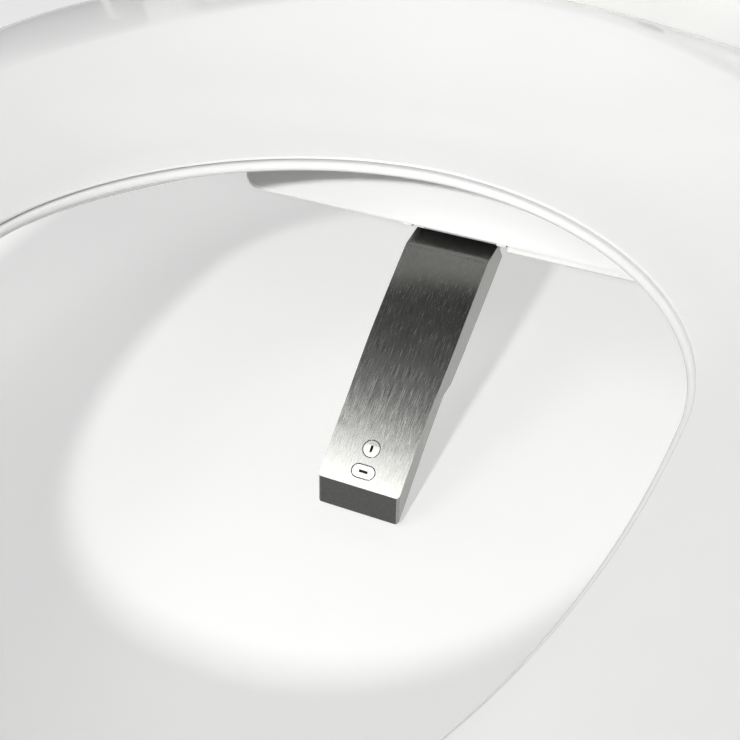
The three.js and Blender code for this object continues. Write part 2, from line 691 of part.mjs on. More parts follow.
function basePan() {
  const wallTop = splitHeight - restGap;
  const plan = (inset) => roundedRect([-unitHalfWidth + inset, unitHalfWidth - inset],
    [unitFrontY + inset, unitRearY - inset], cornerRound - inset);
  const floorTop = panFloor + unitWall;
  let pan = prism('z', plan(0), [panFloor, wallTop]);
  pan = pan.subtract(prism('z', plan(unitWall), [floorTop, wallTop + 1]));
  const bay = box([-bayHalfWidth + 3, bayHalfWidth - 3], [bayFloorY, unitFrontY + 1], [panFloor, floorTop]);
  const bayOpening = box([-bayHalfWidth - restGap, bayHalfWidth + restGap],
    [unitFrontY - 1, unitFrontY + unitWall + 0.1], [floorTop, wallTop + 1]);
  pan = pan.subtract(bayOpening).add(bay);
  const { half, front, rear, height } = channel;
  const hump = box([-half - unitWall, half + unitWall], [front - unitWall, rear + unitWall],
    [panFloor, height + unitWall]);
  pan = pan.add(hump).subtract(box([-half, half], [front, rear], [panFloor - 1, height]));
  const cutFloor = [panFloor - 1, floorTop + 1];
  pan = pan.subtract(box([armOffset - armSlot.half, armOffset + armSlot.half],
    [bayFloorY - 1, armSlot.rear], cutFloor));
  pan = pan.subtract(box([dryerMouth.inner, dryerMouth.outer], [bayFloorY - 1, dryerMouth.rear], cutFloor));
  const wallSpan = [unitHalfWidth - 6, unitHalfWidth + 2];
  pan = pan.subtract(box(wallSpan, [filterBay.front - runGap, filterBay.rear + runGap],
    [filterBay.bottom - runGap, filterBay.top + runGap]));
  pan = pan.subtract(rod('x', inletPlace, sided(-1, ...wallSpan), inletRadius + restGap, 24));
  pan = pan.subtract(rod('x', releasePlace, wallSpan, buttonRadius + runGap));
  pan = pan.subtract(rod('y', glandPlace, [unitRearY - 6, unitRearY + 2], glandRadius + restGap));
  for (const x of boardPosts.x) {
    for (const y of boardPosts.y) {
      pan = pan.add(rod('z', [x, y], [floorTop - 1, boardHeight - restGap], boardPosts.radius, 14));
    }
  }
  return union(pan, railPost(railPosts.front, panFloor + 1), railPost(railPosts.rear, channel.height + 1));
}

// ---- guide rail, in the arm's own frame: y runs up the slope, z is normal to the top face -----
function guideRail() {
  const depth = railFloorDepth;
  const inner = armHalfWidth + restGap;
  const rail = box([-inner - railWall, inner + railWall], [railStart, railEnd], [-depth - railWall, -2]);
  const bed = box([-inner, inner], [railStart - 1, railEnd + 1], [-depth, 0]);
  const gearSlot = box([-railSlot.gearHalf, railSlot.gearHalf],
    [pinionAlong - railSlot.gearReach, pinionAlong + railSlot.gearReach], [-depth - 4, -depth + 1]);
  const shaftSlot = box([-inner - 3, 0],
    [pinionAlong - railSlot.shaftReach, pinionAlong + railSlot.shaftReach], [-depth - 4, -depth + 0.5]);
  return rail.subtract(bed).subtract(gearSlot).subtract(shaftSlot);
}

// ---- spray arm ------------------------------------------------------------------------------
const tipLean = tipHeight * Math.sin(armTilt);
const tipDepth = tipHeight * Math.cos(armTilt);
const neckAlong = armLength - headLength;
const neckBlend = 18;

// The crowned top face, from the tip to the bend, as points in the arm's side view.
function crownLine(inset, steps = 6) {
  const points = [];
  for (let i = 0; i <= steps; i += 1) {
    const u = 2 * i / steps - 1;
    const along = (armLength - inset) * (1 - i / steps);
    points.push([-along, armCrown * (1 - u * u) - inset]);
  }
  return points;
}

function sleeveSide(inset) {
  return outline([
    [heelLength, -heelDrop - inset], [heelLength, -armHeelDepth], [0, -armHeelDepth + 0.4],
    [-neckAlong + 5, -armNeckDepth], [-neckAlong, -headDepth],
    [-armLength - tipLean + inset, -tipDepth], ...crownLine(inset)]);
}

function sleevePlan(inset) {
  const wide = armHalfWidth - inset;
  const slim = headHalfWidth - inset;
  const tip = -armLength - tipLean - 1 + inset;
  const shape = new THREE.Shape();
  shape.moveTo(-wide, heelLength + 1);
  shape.lineTo(-wide, -neckAlong + neckBlend);
  shape.bezierCurveTo(-wide, -neckAlong, -slim, -neckAlong, -slim, -neckAlong - neckBlend);
  shape.lineTo(-slim, tip);
  shape.lineTo(slim, tip);
  shape.lineTo(slim, -neckAlong - neckBlend);
  shape.bezierCurveTo(slim, -neckAlong, wide, -neckAlong, wide, -neckAlong + neckBlend);
  shape.lineTo(wide, heelLength + 1);
  return shape;
}

function insertHole(grow) {
  const round = rod('z', [0, -roundInsert.along], [-3, 2], roundInsert.radius + grow, 24);
  const half = [ovalInsert.length / 2 + grow, ovalInsert.width / 2 + grow];
  const shape = roundedRect([-half[0], half[0]], [-ovalInsert.along - half[1], -ovalInsert.along + half[1]],
    half[1] - 0.01);
  return round.add(prism('z', shape, [-3, 2]));
}

function nozzleSleeve() {
  const outer = prism('x', sleeveSide(0), [-armHalfWidth, armHalfWidth])
    .intersect(prism('z', sleevePlan(0), [-20, armCrown + 1]));
  const innerSide = outline([
    [heelLength + 2, -heelDrop - sleeveWall - 1], [heelLength + 2, -20], [-armLength - tipLean + 1, -20],
    [-armLength - tipLean + sleeveWall + 0.2, -tipDepth], ...crownLine(sleeveWall)]);
  const inner = prism('x', innerSide, [-armHalfWidth, armHalfWidth])
    .intersect(prism('z', sleevePlan(sleeveWall), [-20, armCrown + 1]));
  return outer.subtract(inner).subtract(insertHole(insertClearance));
}

function nozzleCore() {
  const top = -sleeveWall - restGap;
  const half = headHalfWidth - sleeveWall - restGap;
  const skid = { inner: 8, outer: 13, depth: railFloorDepth - restGap };
  const head = prism('x', outline([
    [-neckAlong, top], [-neckAlong, -5.4], [-armLength - tipLean + 2.6, -tipDepth + 0.4],
    [-armLength + 1.9, top]]),
  [-half, half]);
  const plate = prism('x', outline([
    [-neckAlong - 1, top], [-neckAlong - 1, -5.4], [-neckAlong + 4, -rackBackDepth + restGap],
    [tailLength, -rackBackDepth + restGap], [tailLength, -heelDrop - 1.4],
    [heelLength - 1, -heelDrop - 1.4], [-0.8, top]]),
  [-half, half]);
  const runners = both((side) => prism('x', outline([
    [-neckAlong + 6, -6], [-neckAlong + 8, -8.4], [2, -12.4], [12, -skid.depth], [tailLength, -skid.depth],
    [tailLength, -7], [heelLength, -7]]), sided(side, skid.inner, skid.outer)));
  return union(head, plate, runners).subtract(insertHole(insertClearance));
}

// The inserts end flush with the crowned face. Each has a slit that the water leaves by.
const slit = { width: 0.7, round: 2.2, oval: 3, depth: 1.2 };

function sprayInsert(kind) {
  const z = [-2.6, armCrown + 1];
  const face = prism('x', outline([[0, -5], [-armLength, -5], ...crownLine(0)]), [-armHalfWidth, armHalfWidth]);
  const slitZ = [-slit.depth, armCrown + 1];
  const thin = slit.width / 2;
  if (kind === 'round') {
    const y = -roundInsert.along;
    const cut = box([-thin, thin], [y - slit.round / 2, y + slit.round / 2], slitZ);
    return rod('z', [0, y], z, roundInsert.radius, 24).intersect(face).subtract(cut);
  }
  const half = [ovalInsert.length / 2, ovalInsert.width / 2];
  const y = -ovalInsert.along;
  const shape = roundedRect([-half[0], half[0]], [y - half[1], y + half[1]], half[1] - 0.01);
  const cut = box([-slit.oval / 2, slit.oval / 2], [y - thin, y + thin], slitZ);
  return prism('z', shape, z).intersect(face).subtract(cut);
}

// Rack teeth point down to the pinion. Flanks lean by the pressure angle.
const pressureAngle = 20 * degree;

function rackBar() {
  const pitch = Math.PI * gearModule;
  const rootZ = -rackBackDepth - rackBack;
  const tipZ = rootZ - 2.25 * gearModule;
  const lineZ = rootZ - 1.25 * gearModule;
  const halfTooth = pitch / 4 - gearBacklash / 2;
  const lean = Math.tan(pressureAngle);
  const before = Math.floor((armTravel + 3) / pitch);
  const front = pinionAlong - before * pitch;
  const points = [[front - pitch / 2, -rackBackDepth], [front - pitch / 2, rootZ]];
  const count = Math.floor((tailLength - 1 - front) / pitch);
  for (let i = 0; i <= count; i += 1) {
    const y = front + i * pitch;
    const atRoot = halfTooth + (rootZ - lineZ) * lean;
    const atTip = halfTooth - (lineZ - tipZ) * lean;
    points.push([y - atRoot, rootZ], [y - atTip, tipZ], [y + atTip, tipZ], [y + atRoot, rootZ]);
  }
  const end = front + count * pitch + pitch / 2;
  points.push([end, rootZ], [end, -rackBackDepth]);
  return prism('x', outline(points), [-rackHalfWidth, rackHalfWidth]);
}

// Involute pinion. A gap faces the rack tooth that stands at the pinion's own place.
function pinionGear() {
  const pitchRadius = gearModule * pinionTeeth / 2;
  const base = pitchRadius * Math.cos(pressureAngle);
  const root = pitchRadius - 1.2 * gearModule;
  const tip = pitchRadius + 0.95 * gearModule;
  const involute = (r) => {
    const a = Math.acos(Math.min(base / r, 1));
    return Math.tan(a) - a;
  };
  const halfAngle = Math.PI / 2 / pinionTeeth - gearBacklash / 4 / pitchRadius + involute(pitchRadius);
  const points = [];
  for (let i = 0; i < pinionTeeth; i += 1) {
    const middle = Math.PI / 2 + Math.PI / pinionTeeth + 2 * Math.PI * i / pinionTeeth;
    const flank = [root, base, pitchRadius, tip].map((r) => [r, halfAngle - involute(Math.max(r, base))]);
    for (const [r, a] of flank) points.push([r * Math.cos(middle - a), r * Math.sin(middle - a)]);
    for (const [r, a] of flank.reverse()) points.push([r * Math.cos(middle + a), r * Math.sin(middle + a)]);
  }
  const gear = prism('x', outline(points), [-rackHalfWidth + 0.5, rackHalfWidth - 0.5]);
  const shaft = rod('x', [0, 0], [-26, rackHalfWidth], shaftRadius, 12);
  return gear.add(shaft).translate([0, pinionAlong, -pinionDepth]);
}

add('nozzle_guide_rail', guideRail(), plastic(0xdfe0e0, 0.4), armGroup);
add('nozzle_sleeve', nozzleSleeve(), metal(0xb9bab8, 0.32), armGroup);
add('nozzle_core', nozzleCore(), plastic(paleGrey, 0.4), armGroup);
add('spray_insert_round', sprayInsert('round'), metal(0xd6d6d3, 0.25), armGroup);
add('spray_insert_oval', sprayInsert('oval'), metal(0xd6d6d3, 0.25), armGroup);
add('nozzle_rack', rackBar(), plastic(0xe8e6de, 0.45), armGroup);
add('nozzle_pinion', pinionGear(), plastic(0xe8e6de, 0.45), armGroup);
add('base_pan', basePan(), plastic(0xe9e9e6, 0.35));

// ---- arm drive motor ------------------------------------------------------------------------
const driveMotor = {
  radius: 10.3, face: -21, length: 29, boreDepth: 7, lug: 3, lugFront: -3, lugRear: 16, lugTop: -4,
};

function nozzleMotor() {
  const [y, z] = pinionPlace;
  const { radius, face, length, boreDepth, lug, lugFront, lugRear, lugTop } = driveMotor;
  const can = rod('x', [y, z], [face - length, face], radius, 16);
  const ear = box([face - lug - 1, face - 1], [y + lugFront, y + lugRear], [z - radius + 0.5, z + lugTop]);
  const bore = rod('x', [y, z], [face - boreDepth, face + 1], shaftRadius + restGap, 12);
  return union(can, ear).subtract(bore);
}

// ---- frame round the arm, under the panel ------------------------------------------------------
const bayCheek = { width: 3.6, front: -106, rear: -98.5, bottom: 3, top: 3.9, rearBottom: 0.9, rearTop: 9.4 };
const bayWall = { outer: 5.2, thickness: 2.7, bottom: 3.9, top: 8 };
const bayFlange = { width: 6, front: -96, rear: -82, bottom: 6.8 };
const bayStrap = { width: 1.6, top: 5 };

function bayFrame() {
  const { width, front, rear, bottom, top, rearBottom, rearTop } = bayCheek;
  const inner = armHalfWidth + runGap;
  const outer = inner + bayWall.outer;
  const strapRear = armSlot.rear - 0.6;
  const cheek = (side) => prism('x', outline([
    [front, bottom], [rear, rearBottom], [rear, rearTop], [front, top]]), sided(side, inner, inner + width));
  const wall = (side) => box(sided(side, outer - bayWall.thickness, outer), [rear - 1, strapRear],
    [bayWall.bottom, bayWall.top]);
  const flange = (side) => box(sided(side, outer - 1, side > 0 ? outer : outer + bayFlange.width),
    [bayFlange.front, bayFlange.rear], [bayFlange.bottom, bayWall.top]);
  const strap = box([-outer, outer], [strapRear - bayStrap.width, strapRear], [bayWall.bottom, bayStrap.top]);
  return union(both(cheek), both(wall), both(flange), strap).translate([armOffset, 0, 0]);
}

add('nozzle_motor', nozzleMotor(), metal(0x9a9da0, 0.4));
add('nozzle_bay_frame', bayFrame(), plastic(white, 0.3));

// ---- warm-air dryer ----------------------------------------------------------------------------
const flapSpan = [18.5, 76];
const flapHinge = [-104.3, 3.1];
const flap = {
  barrel: 1, nose: 1.4, noseFoot: 1.6, foot: 0.9, bottom: 0.7, rear: -89.5, rearBottom: 1.2, rearTop: 2.1,
};
const ductSpan = [24, 74];
const ductWall = 1.2;
const ductMouth = { front: -102.5, rear: -87.5, bottom: 4.4, top: 7.3 };
const ductBody = { bottom: 7, top: 38, rear: -37, shoulder: -59, throat: -92, throatTop: 14.5 };
const heaterGap = 0.4;
const heaterBottom = 15.2;
const heaterTop = 37.5;
const heaterPlates = { count: 4, pitch: 10, thickness: 1, setback: 3 };
const fanCentre = [22, 38.5];
const fanRadius = 22;
const fanSpan = [30, 66];
const fanWall = 1.6;
const fanThroat = { reach: 24, bottom: 17, top: 36 };
const fanInlet = 11;
const impeller = { radius: 18, inner: 12.5, blades: 12, blade: 1, left: 35, right: 62.6, disc: 1.6, rim: 1.4 };
const impellerHub = { radius: 4.5, left: 48 };
const impellerShaft = [50, 74];
const fanMotorBody = { radius: 13, left: 67, right: 88, nose: 8, noseEnd: 66.4, boreEnd: 76 };

function dryerFlap() {
  const [y, z] = flapHinge;
  const barrel = rod('x', flapHinge, flapSpan, flap.barrel, 12);
  const plate = prism('x', outline([
    [y - 1.2, z], [y - flap.nose, flap.noseFoot], [y - 0.9, flap.foot], [y + 1, flap.bottom],
    [flap.rear, flap.rearBottom], [flap.rear, flap.rearTop], [y + 2, 1.9], [y + 0.6, z]]), flapSpan);
  return barrel.add(plate);
}

function ductShape(inset) {
  const { front, rear, bottom, top } = ductMouth;
  const body = ductBody;
  return outline([
    [front + inset, bottom], [rear - inset, bottom], [rear - inset, body.bottom + inset],
    [body.rear, body.bottom + inset], [body.rear, body.top - inset], [body.shoulder, body.top - inset],
    [body.throat, body.throatTop - inset], [front + inset, top - inset]]);
}

function dryerDuct() {
  const hollow = [ductSpan[0] + ductWall, ductSpan[1] - ductWall];
  const outer = prism('x', ductShape(0), ductSpan);
  const inner = prism('x', ductShape(ductWall), hollow);
  const mouth = box(hollow, [ductMouth.front + ductWall, ductMouth.rear - ductWall],
    [ductMouth.bottom - 0.4, ductBody.bottom + ductWall + 0.3]);
  const end = box(hollow, [ductBody.rear - 1, ductBody.rear + 1],
    [ductBody.bottom + ductWall, ductBody.top - ductWall]);
  return outer.subtract(inner).subtract(mouth).subtract(end);
}

function dryerHeater() {
  const y = [ductBody.rear + heaterGap, fanCentre[0] - fanThroat.reach - heaterGap];
  const z = [heaterBottom, heaterTop];
  const tube = box(ductSpan, y, z).subtract(box([ductSpan[0] + ductWall, ductSpan[1] - ductWall],
    [y[0] - 1, y[1] + 1], [z[0] + ductWall, z[1] - ductWall]));
  const { count, pitch, thickness, setback } = heaterPlates;
  const plates = [];
  for (let i = 1; i <= count; i += 1) {
    const x = ductSpan[0] + pitch * i;
    plates.push(box([x - thickness / 2, x + thickness / 2], [y[0] + setback, y[1] - setback],
      [z[0] + 1, z[1] - 1]));
  }
  return union(tube, ...plates);
}

function fanHousing() {
  const [y] = fanCentre;
  const [left, right] = fanSpan;
  const { reach: throatReach, bottom, top } = fanThroat;
  const drum = rod('x', fanCentre, fanSpan, fanRadius, 24)
    .add(box(fanSpan, [y - throatReach, y], [bottom, top]));
  const hollowSpan = [left + fanWall, right - fanWall];
  const hollow = rod('x', fanCentre, hollowSpan, fanRadius - fanWall, 24)
    .add(box(hollowSpan, [y - throatReach - 2, y], [bottom + fanWall, top - fanWall]));
  const inlet = rod('x', fanCentre, [left - 1, left + fanWall + 1], fanInlet, 16);
  const shaftHole = rod('x', fanCentre, [right - fanWall - 1, right + 1], shaftRadius + 1.2, 12);
  return drum.subtract(hollow).subtract(inlet).subtract(shaftHole);
}

function fanImpeller() {
  const { radius, inner, blades: count, blade, left, right, disc, rim } = impeller;
  const plate = rod('x', fanCentre, [right - disc, right], radius, 20);
  const hub = rod('x', fanCentre, [impellerHub.left, right - disc / 2], impellerHub.radius, 12);
  const shaft = rod('x', fanCentre, impellerShaft, shaftRadius, 12);
  const blades = [];
  for (let i = 0; i < count; i += 1) {
    const vane = box([left + 1, right - 1], [inner, radius - 0.4], [-blade / 2, blade / 2]);
    blades.push(vane.rotate([360 * i / count, 0, 0]).translate([0, ...fanCentre]));
  }
  const ring = rod('x', fanCentre, [left, left + rim], radius, 20)
    .subtract(rod('x', fanCentre, [left - 1, left + rim + 1], inner, 20));
  return union(plate, hub, shaft, ring, ...blades);
}

function fanMotor() {
  const { radius, left, right, nose, noseEnd, boreEnd } = fanMotorBody;
  const body = rod('x', fanCentre, [left, right], radius, 16)
    .add(rod('x', fanCentre, [noseEnd, left + 1], nose, 16));
  return body.subtract(rod('x', fanCentre, [noseEnd - 1, boreEnd], shaftRadius + restGap, 16));
}

add('dryer_flap', dryerFlap(), plastic(white, 0.25));
add('dryer_duct', dryerDuct(), plastic(0xd5d6d6, 0.45));
add('dryer_heater', dryerHeater(), metal(0xb0aca2, 0.45));
add('dryer_fan_housing', fanHousing(), plastic(0x2e3032, 0.5));
add('dryer_fan_impeller', fanImpeller(), plastic(0x9fa2a4, 0.5));
add('dryer_fan_motor', fanMotor(), metal(0x8e9194, 0.35));

// ---- deodoriser --------------------------------------------------------------------------------
const deoCentre = [-4, 17.8];
const deoSpan = [107, 127];
const deoHalf = { wide: 12.5, below: 11, above: 11 };
const deoBore = 10.4;
const deoPin = { radius: 1.2, left: 109, right: 124 };
const deoSpider = { left: 123, right: 125, half: 1.5 };
const deoRotor = { left: 109.5, right: 121, hub: 3.6, tip: 9.6, blades: 5, chord: 9, pitch: 32, blade: 1 };
const filterGrip = { depth: 3, setback: 8, low: 7, high: 3 };
const filterSlots = { pitch: 6, width: 3.5, edge: 3, wall: 2, end: 8 };

function deodoriserDuct() {
  const [y, z] = deoCentre;
  const outer = box(deoSpan, [y - deoHalf.wide, y + deoHalf.wide], [z - deoHalf.below, z + deoHalf.above]);
  const { left, right, half } = deoSpider;
  const reachOut = deoBore + 0.4;
  const spider = box([left, right], [y - reachOut, y + reachOut], [z - half, z + half])
    .add(box([left, right], [y - half, y + half], [z - reachOut, z + reachOut]));
  const pin = rod('x', deoCentre, [deoPin.left, deoPin.right], deoPin.radius, 12);
  const bore = rod('x', deoCentre, [deoSpan[0] - 1, deoSpan[1] + 1], deoBore, 20);
  return union(outer.subtract(bore), spider, pin);
}

function deodoriserFan() {
  const { left, right, hub, tip, blades: count, chord, pitch, blade } = deoRotor;
  const middle = (left + right) / 2 + 0.25;
  const blades = [];
  for (let i = 0; i < count; i += 1) {
    const vane = box([-chord / 2, chord / 2], [hub - 1, tip], [-blade / 2, blade / 2]).rotate([0, pitch, 0]);
    blades.push(vane.rotate([360 * i / count, 0, 0]).translate([middle, ...deoCentre]));
  }
  const bore = rod('x', deoCentre, [left - 1.5, right + 1], deoPin.radius + restGap, 12);
  return union(rod('x', deoCentre, [left, right], hub, 14), ...blades).subtract(bore);
}

function deodoriserFilter() {
  const { front, rear, bottom, top, inner } = filterBay;
  const { depth, setback, low, high } = filterGrip;
  const body = box([inner, unitHalfWidth], [front, rear], [bottom, top]);
  const grip = box([unitHalfWidth - depth, unitHalfWidth + 1], [front + setback, rear - setback],
    [top - low, top - high]);
  let filter = body.subtract(grip);
  const { pitch, width, edge, wall, end } = filterSlots;
  for (let y = front + edge; y < rear - edge; y += pitch) {
    filter = filter.subtract(box([inner - 1, unitHalfWidth - end], [y, y + width],
      [bottom + wall, top - wall]));
  }
  return filter;
}

add('deodoriser_duct', deodoriserDuct(), plastic(0xd5d6d6, 0.45));
add('deodoriser_fan', deodoriserFan(), plastic(0x9fa2a4, 0.5));
add('deodoriser_filter', deodoriserFilter(), plastic(0xe4e4e1, 0.5));

// ---- water path ----------------------------------------------------------------------------------
const onPan = panFloor + unitWall + restGap;
const valve = { x: [-148, -114], y: [20, 48], z: [onPan, 28] };
const valveCentre = [-131, 34];
const valveCoil = { radius: 12, top: 40 };
const valveNeck = { radius: 6, top: 44 };
const breaker = { radius: 9, top: 74, cap: 5, capTop: 78, bore: 3, boreFoot: 76 };
const heater = { x: [-104, -28], y: [31, 48], z: [onPan, 72], round: 5 };
const heaterPort = { radius: 4, top: 80, inset: 12 };
const inletStem = { outer: -216, inner: -166, bore: 7.2, boreEnd: -180 };
const inletCollar = { radius: 13, outer: -204, inner: -200.4 };
const inletPort = { radius: 5.5, bore: 4, end: -152 };
const strainer = {
  radius: 6.8, wall: 0.8, outer: -212, inner: -184, slot: 2.4, slotOuter: -206, slotInner: -188,
};
const hoseRadius = 3.8;
const hosePoints = [
  [-120.8, 34, 64], [-114, 34.3, 65.5], [-108, 37, 78], [-104, 39, 88], [-98, 39.5, 92], [-92, 39.5, 88],
  [-92, 39.5, 82]];

function waterInlet() {
  const stem = rod('x', inletPlace, [inletStem.outer, inletStem.inner], inletRadius, 24);
  const collar = rod('x', inletPlace, [inletCollar.outer, inletCollar.inner], inletCollar.radius, 6);
  const bore = rod('x', inletPlace, [inletStem.outer - 1, inletStem.boreEnd], inletStem.bore, 16);
  const outlet = rod('x', inletPlace, [inletStem.boreEnd - 10, inletStem.inner + 6], inletPort.bore, 12);
  const nipple = rod('x', inletPlace, [inletStem.inner - 4, inletPort.end], inletPort.radius, 12)
    .subtract(rod('x', inletPlace, [inletStem.inner - 5, inletPort.end + 1], inletPort.bore, 12));
  return union(stem.subtract(bore).subtract(outlet), collar.subtract(bore), nipple);
}

function inletStrainer() {
  const { radius, wall, outer, inner, slot, slotOuter, slotInner } = strainer;
  const cup = rod('x', inletPlace, [outer, inner], radius, 14)
    .subtract(rod('x', inletPlace, [outer - 1, inner - 1], radius - wall, 14));
  const slots = [0, 60, 120].map((a) => box([slotOuter, slotInner], [-radius - 1.2, radius + 1.2],
    [-slot / 2, slot / 2]).rotate([a, 0, 0]).translate([0, ...inletPlace]));
  return cup.subtract(union(...slots));
}

function solenoidValve() {
  const body = box(valve.x, valve.y, valve.z);
  const coil = rod('z', valveCentre, [valve.z[1] - 1, valveCoil.top], valveCoil.radius, 14);
  const port = rod('x', inletPlace, [valve.x[0] - 1, valve.x[0] + 8], inletPort.radius, 12);
  const neck = rod('z', valveCentre, [valveCoil.top - 1, valveNeck.top], valveNeck.radius, 12);
  return union(body, coil, neck).subtract(port);
}

function vacuumBreaker() {
  const { radius, top, cap, capTop, bore, boreFoot } = breaker;
  const body = rod('z', valveCentre, [valveNeck.top + 0.4, top], radius, 14)
    .add(rod('z', valveCentre, [top, capTop], cap, 14));
  return body.subtract(rod('z', valveCentre, [boreFoot, capTop + 1], bore, 12));
}

function flowHeater() {
  const body = prism('y', roundedRect(heater.z, heater.x, heater.round), heater.y);
  const y = (heater.y[0] + heater.y[1]) / 2;
  const ports = [heater.x[0] + heaterPort.inset, heater.x[1] - heaterPort.inset].map((x) => (
    rod('z', [x, y], [heater.z[1] - 2, heaterPort.top], heaterPort.radius, 12)));
  return union(body, ...ports);
}

function waterHose() {
  const path = new THREE.CatmullRomCurve3(hosePoints.map((p) => new THREE.Vector3(...p)));
  const shape = new THREE.Shape().absarc(0, 0, hoseRadius, 0, Math.PI * 2);
  return toSolid(new THREE.ExtrudeGeometry(shape, {
    steps: 14, bevelEnabled: false, extrudePath: path, curveSegments: 5 }));
}

add('water_inlet', waterInlet(), plastic(0xbfc2c4, 0.4));
add('inlet_strainer', inletStrainer(), metal(0xc4c6c8, 0.35));
add('solenoid_valve', solenoidValve(), plastic(0x35506a, 0.5));
add('vacuum_breaker', vacuumBreaker(), plastic(0xd9dadb, 0.4));
add('flow_heater', flowHeater(), metal(0xa8acaf, 0.4));
add('water_hose', waterHose(), plastic(0xcfd4d6, 0.4));

// ---- electronics -----------------------------------------------------------------------------------
const board = { x: [106, 186], y: [15, 46], thickness: 1.6 };
const transformer = { x: [112, 128], y: [20, 36], height: 13 };
const relay = { x: [136, 150], y: [22, 34], height: 6 };
const chip = { x: [158, 176], y: [20, 40], height: 4 };
const capacitor = { x: [131, 142], y: 41, radius: 4, height: 15 };
const sensorBody = { half: 9, tall: 8, setback: 3, depth: 7 };
const buttonTravelOut = 3;
const buttonFlange = 1.6;

function controlBoard() {
  const top = boardHeight + board.thickness;
  const foot = boardHeight + 1;
  const blocks = [transformer, relay, chip].map((part) => box(part.x, part.y, [foot, foot - 1 + part.height]));
  const cans = capacitor.x.map((x) => (
    rod('z', [x, capacitor.y], [foot, foot - 1 + capacitor.height], capacitor.radius, 12)));
  return union(box(board.x, board.y, [boardHeight, top]), ...blocks, ...cans);
}

function occupancySensor() {
  const { half, tall, setback, depth } = sensorBody;
  const lens = rod('y', [sensorX, sensorZ], [unitFrontY + 0.4, unitFrontY + 6], sensorRadius, 24);
  return lens.add(box([sensorX - half, sensorX + half], [unitFrontY + setback, unitFrontY + setback + depth],
    [sensorZ - tall, sensorZ + tall]));
}

// A cap that stands out of the housing's side, with a flange that keeps it in.
function pushButton(place, depth) {
  const flangeEnd = unitHalfWidth - depth;
  const cap = rod('x', place, [flangeEnd, unitHalfWidth + buttonTravelOut], buttonRadius, 20);
  return cap.add(rod('x', place, [flangeEnd - 3, flangeEnd], buttonRadius + buttonFlange, 20));
}

add('control_board', controlBoard(), plastic(0x2c6b45, 0.6));
add('occupancy_sensor', occupancySensor(), plastic(0x1b1c1e, 0.2));
['wash', 'dry', 'stop'].forEach((name, i) => {
  add(`button_${name}`, pushButton([buttonY[i], buttonZ], 4), plastic(i === 2 ? 0xb9bcbe : 0xe6e7e7, 0.3));
});

// ---- fixing to the bowl ------------------------------------------------------------------------------
const boltX = 70;
const boltRadius = 3.9;
const boltEnd = -52;
const boltHead = { radius: 8, bottom: 5.8, top: 10.4 };
const deckThickness = 22;      // of the bowl's deck, under the plate
const plateTop = 11.6;
const plateSlot = { half: 4.6, reach: 12 };
const plateRecess = { half: 9, reach: 18, floor: 5.5 };
const washer = { wide: 14, narrow: 11, height: 6.7 };
const nut = { radius: 9.5, flange: 12, flangeHeight: 2.5, height: 14 };
const foot = { inner: 128, outer: 168, front: -18, rear: 30, round: 5 };
const gland = { flange: 3, out: 6, bore: 3.4 };

function mountingPlate() {
  let plate = box([-channel.half + restGap, channel.half - restGap],
    [channel.front + restGap, channel.rear - restGap], [0, plateTop]);
  for (const x of [-boltX, boltX]) {
    plate = plate.subtract(box([x - plateSlot.half, x + plateSlot.half], [-plateSlot.reach, plateSlot.reach],
      [-1, plateTop + 1]));
    plate = plate.subtract(box([x - plateRecess.half, x + plateRecess.half],
      [-plateRecess.reach, plateRecess.reach], [plateRecess.floor, plateTop + 1]));
  }
  return plate;
}

function mountingBolt(x) {
  const shank = rod('z', [x, 0], [boltEnd, boltHead.bottom + 0.2], boltRadius, 24);
  return shank.add(rod('z', [x, 0], [boltHead.bottom, boltHead.top], boltHead.radius, 6));
}

function boltWasher(x) {
  const top = -deckThickness - restGap;
  const cone = rod('z', [x, 0], [top - washer.height, top], washer.narrow, 28, washer.wide);
  return cone.subtract(rod('z', [x, 0], [top - washer.height - 1, 0], boltRadius + restGap, 24));
}

function boltNut(x) {
  const top = -deckThickness - washer.height - 2 * restGap;
  const body = rod('z', [x, 0], [top - nut.height, top], nut.radius, 6)
    .add(rod('z', [x, 0], [top - nut.flangeHeight, top], nut.flange, 20));
  return body.subtract(rod('z', [x, 0], [top - nut.height - 1, top + 1], boltRadius + restGap, 24));
}

add('mounting_plate', mountingPlate(), plastic(0xdededb, 0.5));
for (const [place, x] of [['left', -boltX], ['right', boltX]]) {
  add(`mounting_bolt_${place}`, mountingBolt(x), metal(0xb5b7b9, 0.3));
  add(`bolt_washer_${place}`, boltWasher(x), plastic(0x1f2022, 0.8));
  add(`bolt_nut_${place}`, boltNut(x), plastic(0xe2e2df, 0.5));
}

function unitFoot(side) {
  const shape = roundedRect(sided(side, foot.inner, foot.outer), [foot.front, foot.rear], foot.round);
  return prism('z', shape, [0, panFloor - restGap]);
}

function cordGland() {
  const inside = unitRearY - 5;
  const flange = rod('y', glandPlace, [inside, unitRearY - unitWall - restGap], glandRadius + gland.flange);
  const tube = rod('y', glandPlace, [inside, unitRearY + gland.out], glandRadius, 24);
  return flange.add(tube)
    .subtract(rod('y', glandPlace, [inside - 1, unitRearY + gland.out + 1], gland.bore, 20));
}

add('release_button', pushButton(releasePlace, 5), plastic(paleGrey, 0.35));
add('unit_foot_left', unitFoot(-1), plastic(0x2a2b2d, 0.85));
add('unit_foot_right', unitFoot(1), plastic(0x2a2b2d, 0.85));
add('power_cord_gland', cordGland(), plastic(0x2a2b2d, 0.6));

export default group;
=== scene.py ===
# %% [markdown]
# # An electric bidet seat
# The object is a dished toilet seat ring with a housing behind it, an open lid, and a stainless
# spray arm that slides out from under a sloped panel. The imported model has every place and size.
# The ring and the sleeve of the arm are drawn anew here, finer than they are packed, by formulas
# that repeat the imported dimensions. Blender works in metres. Shapes are written in millimetres and
# multiplied by mm.

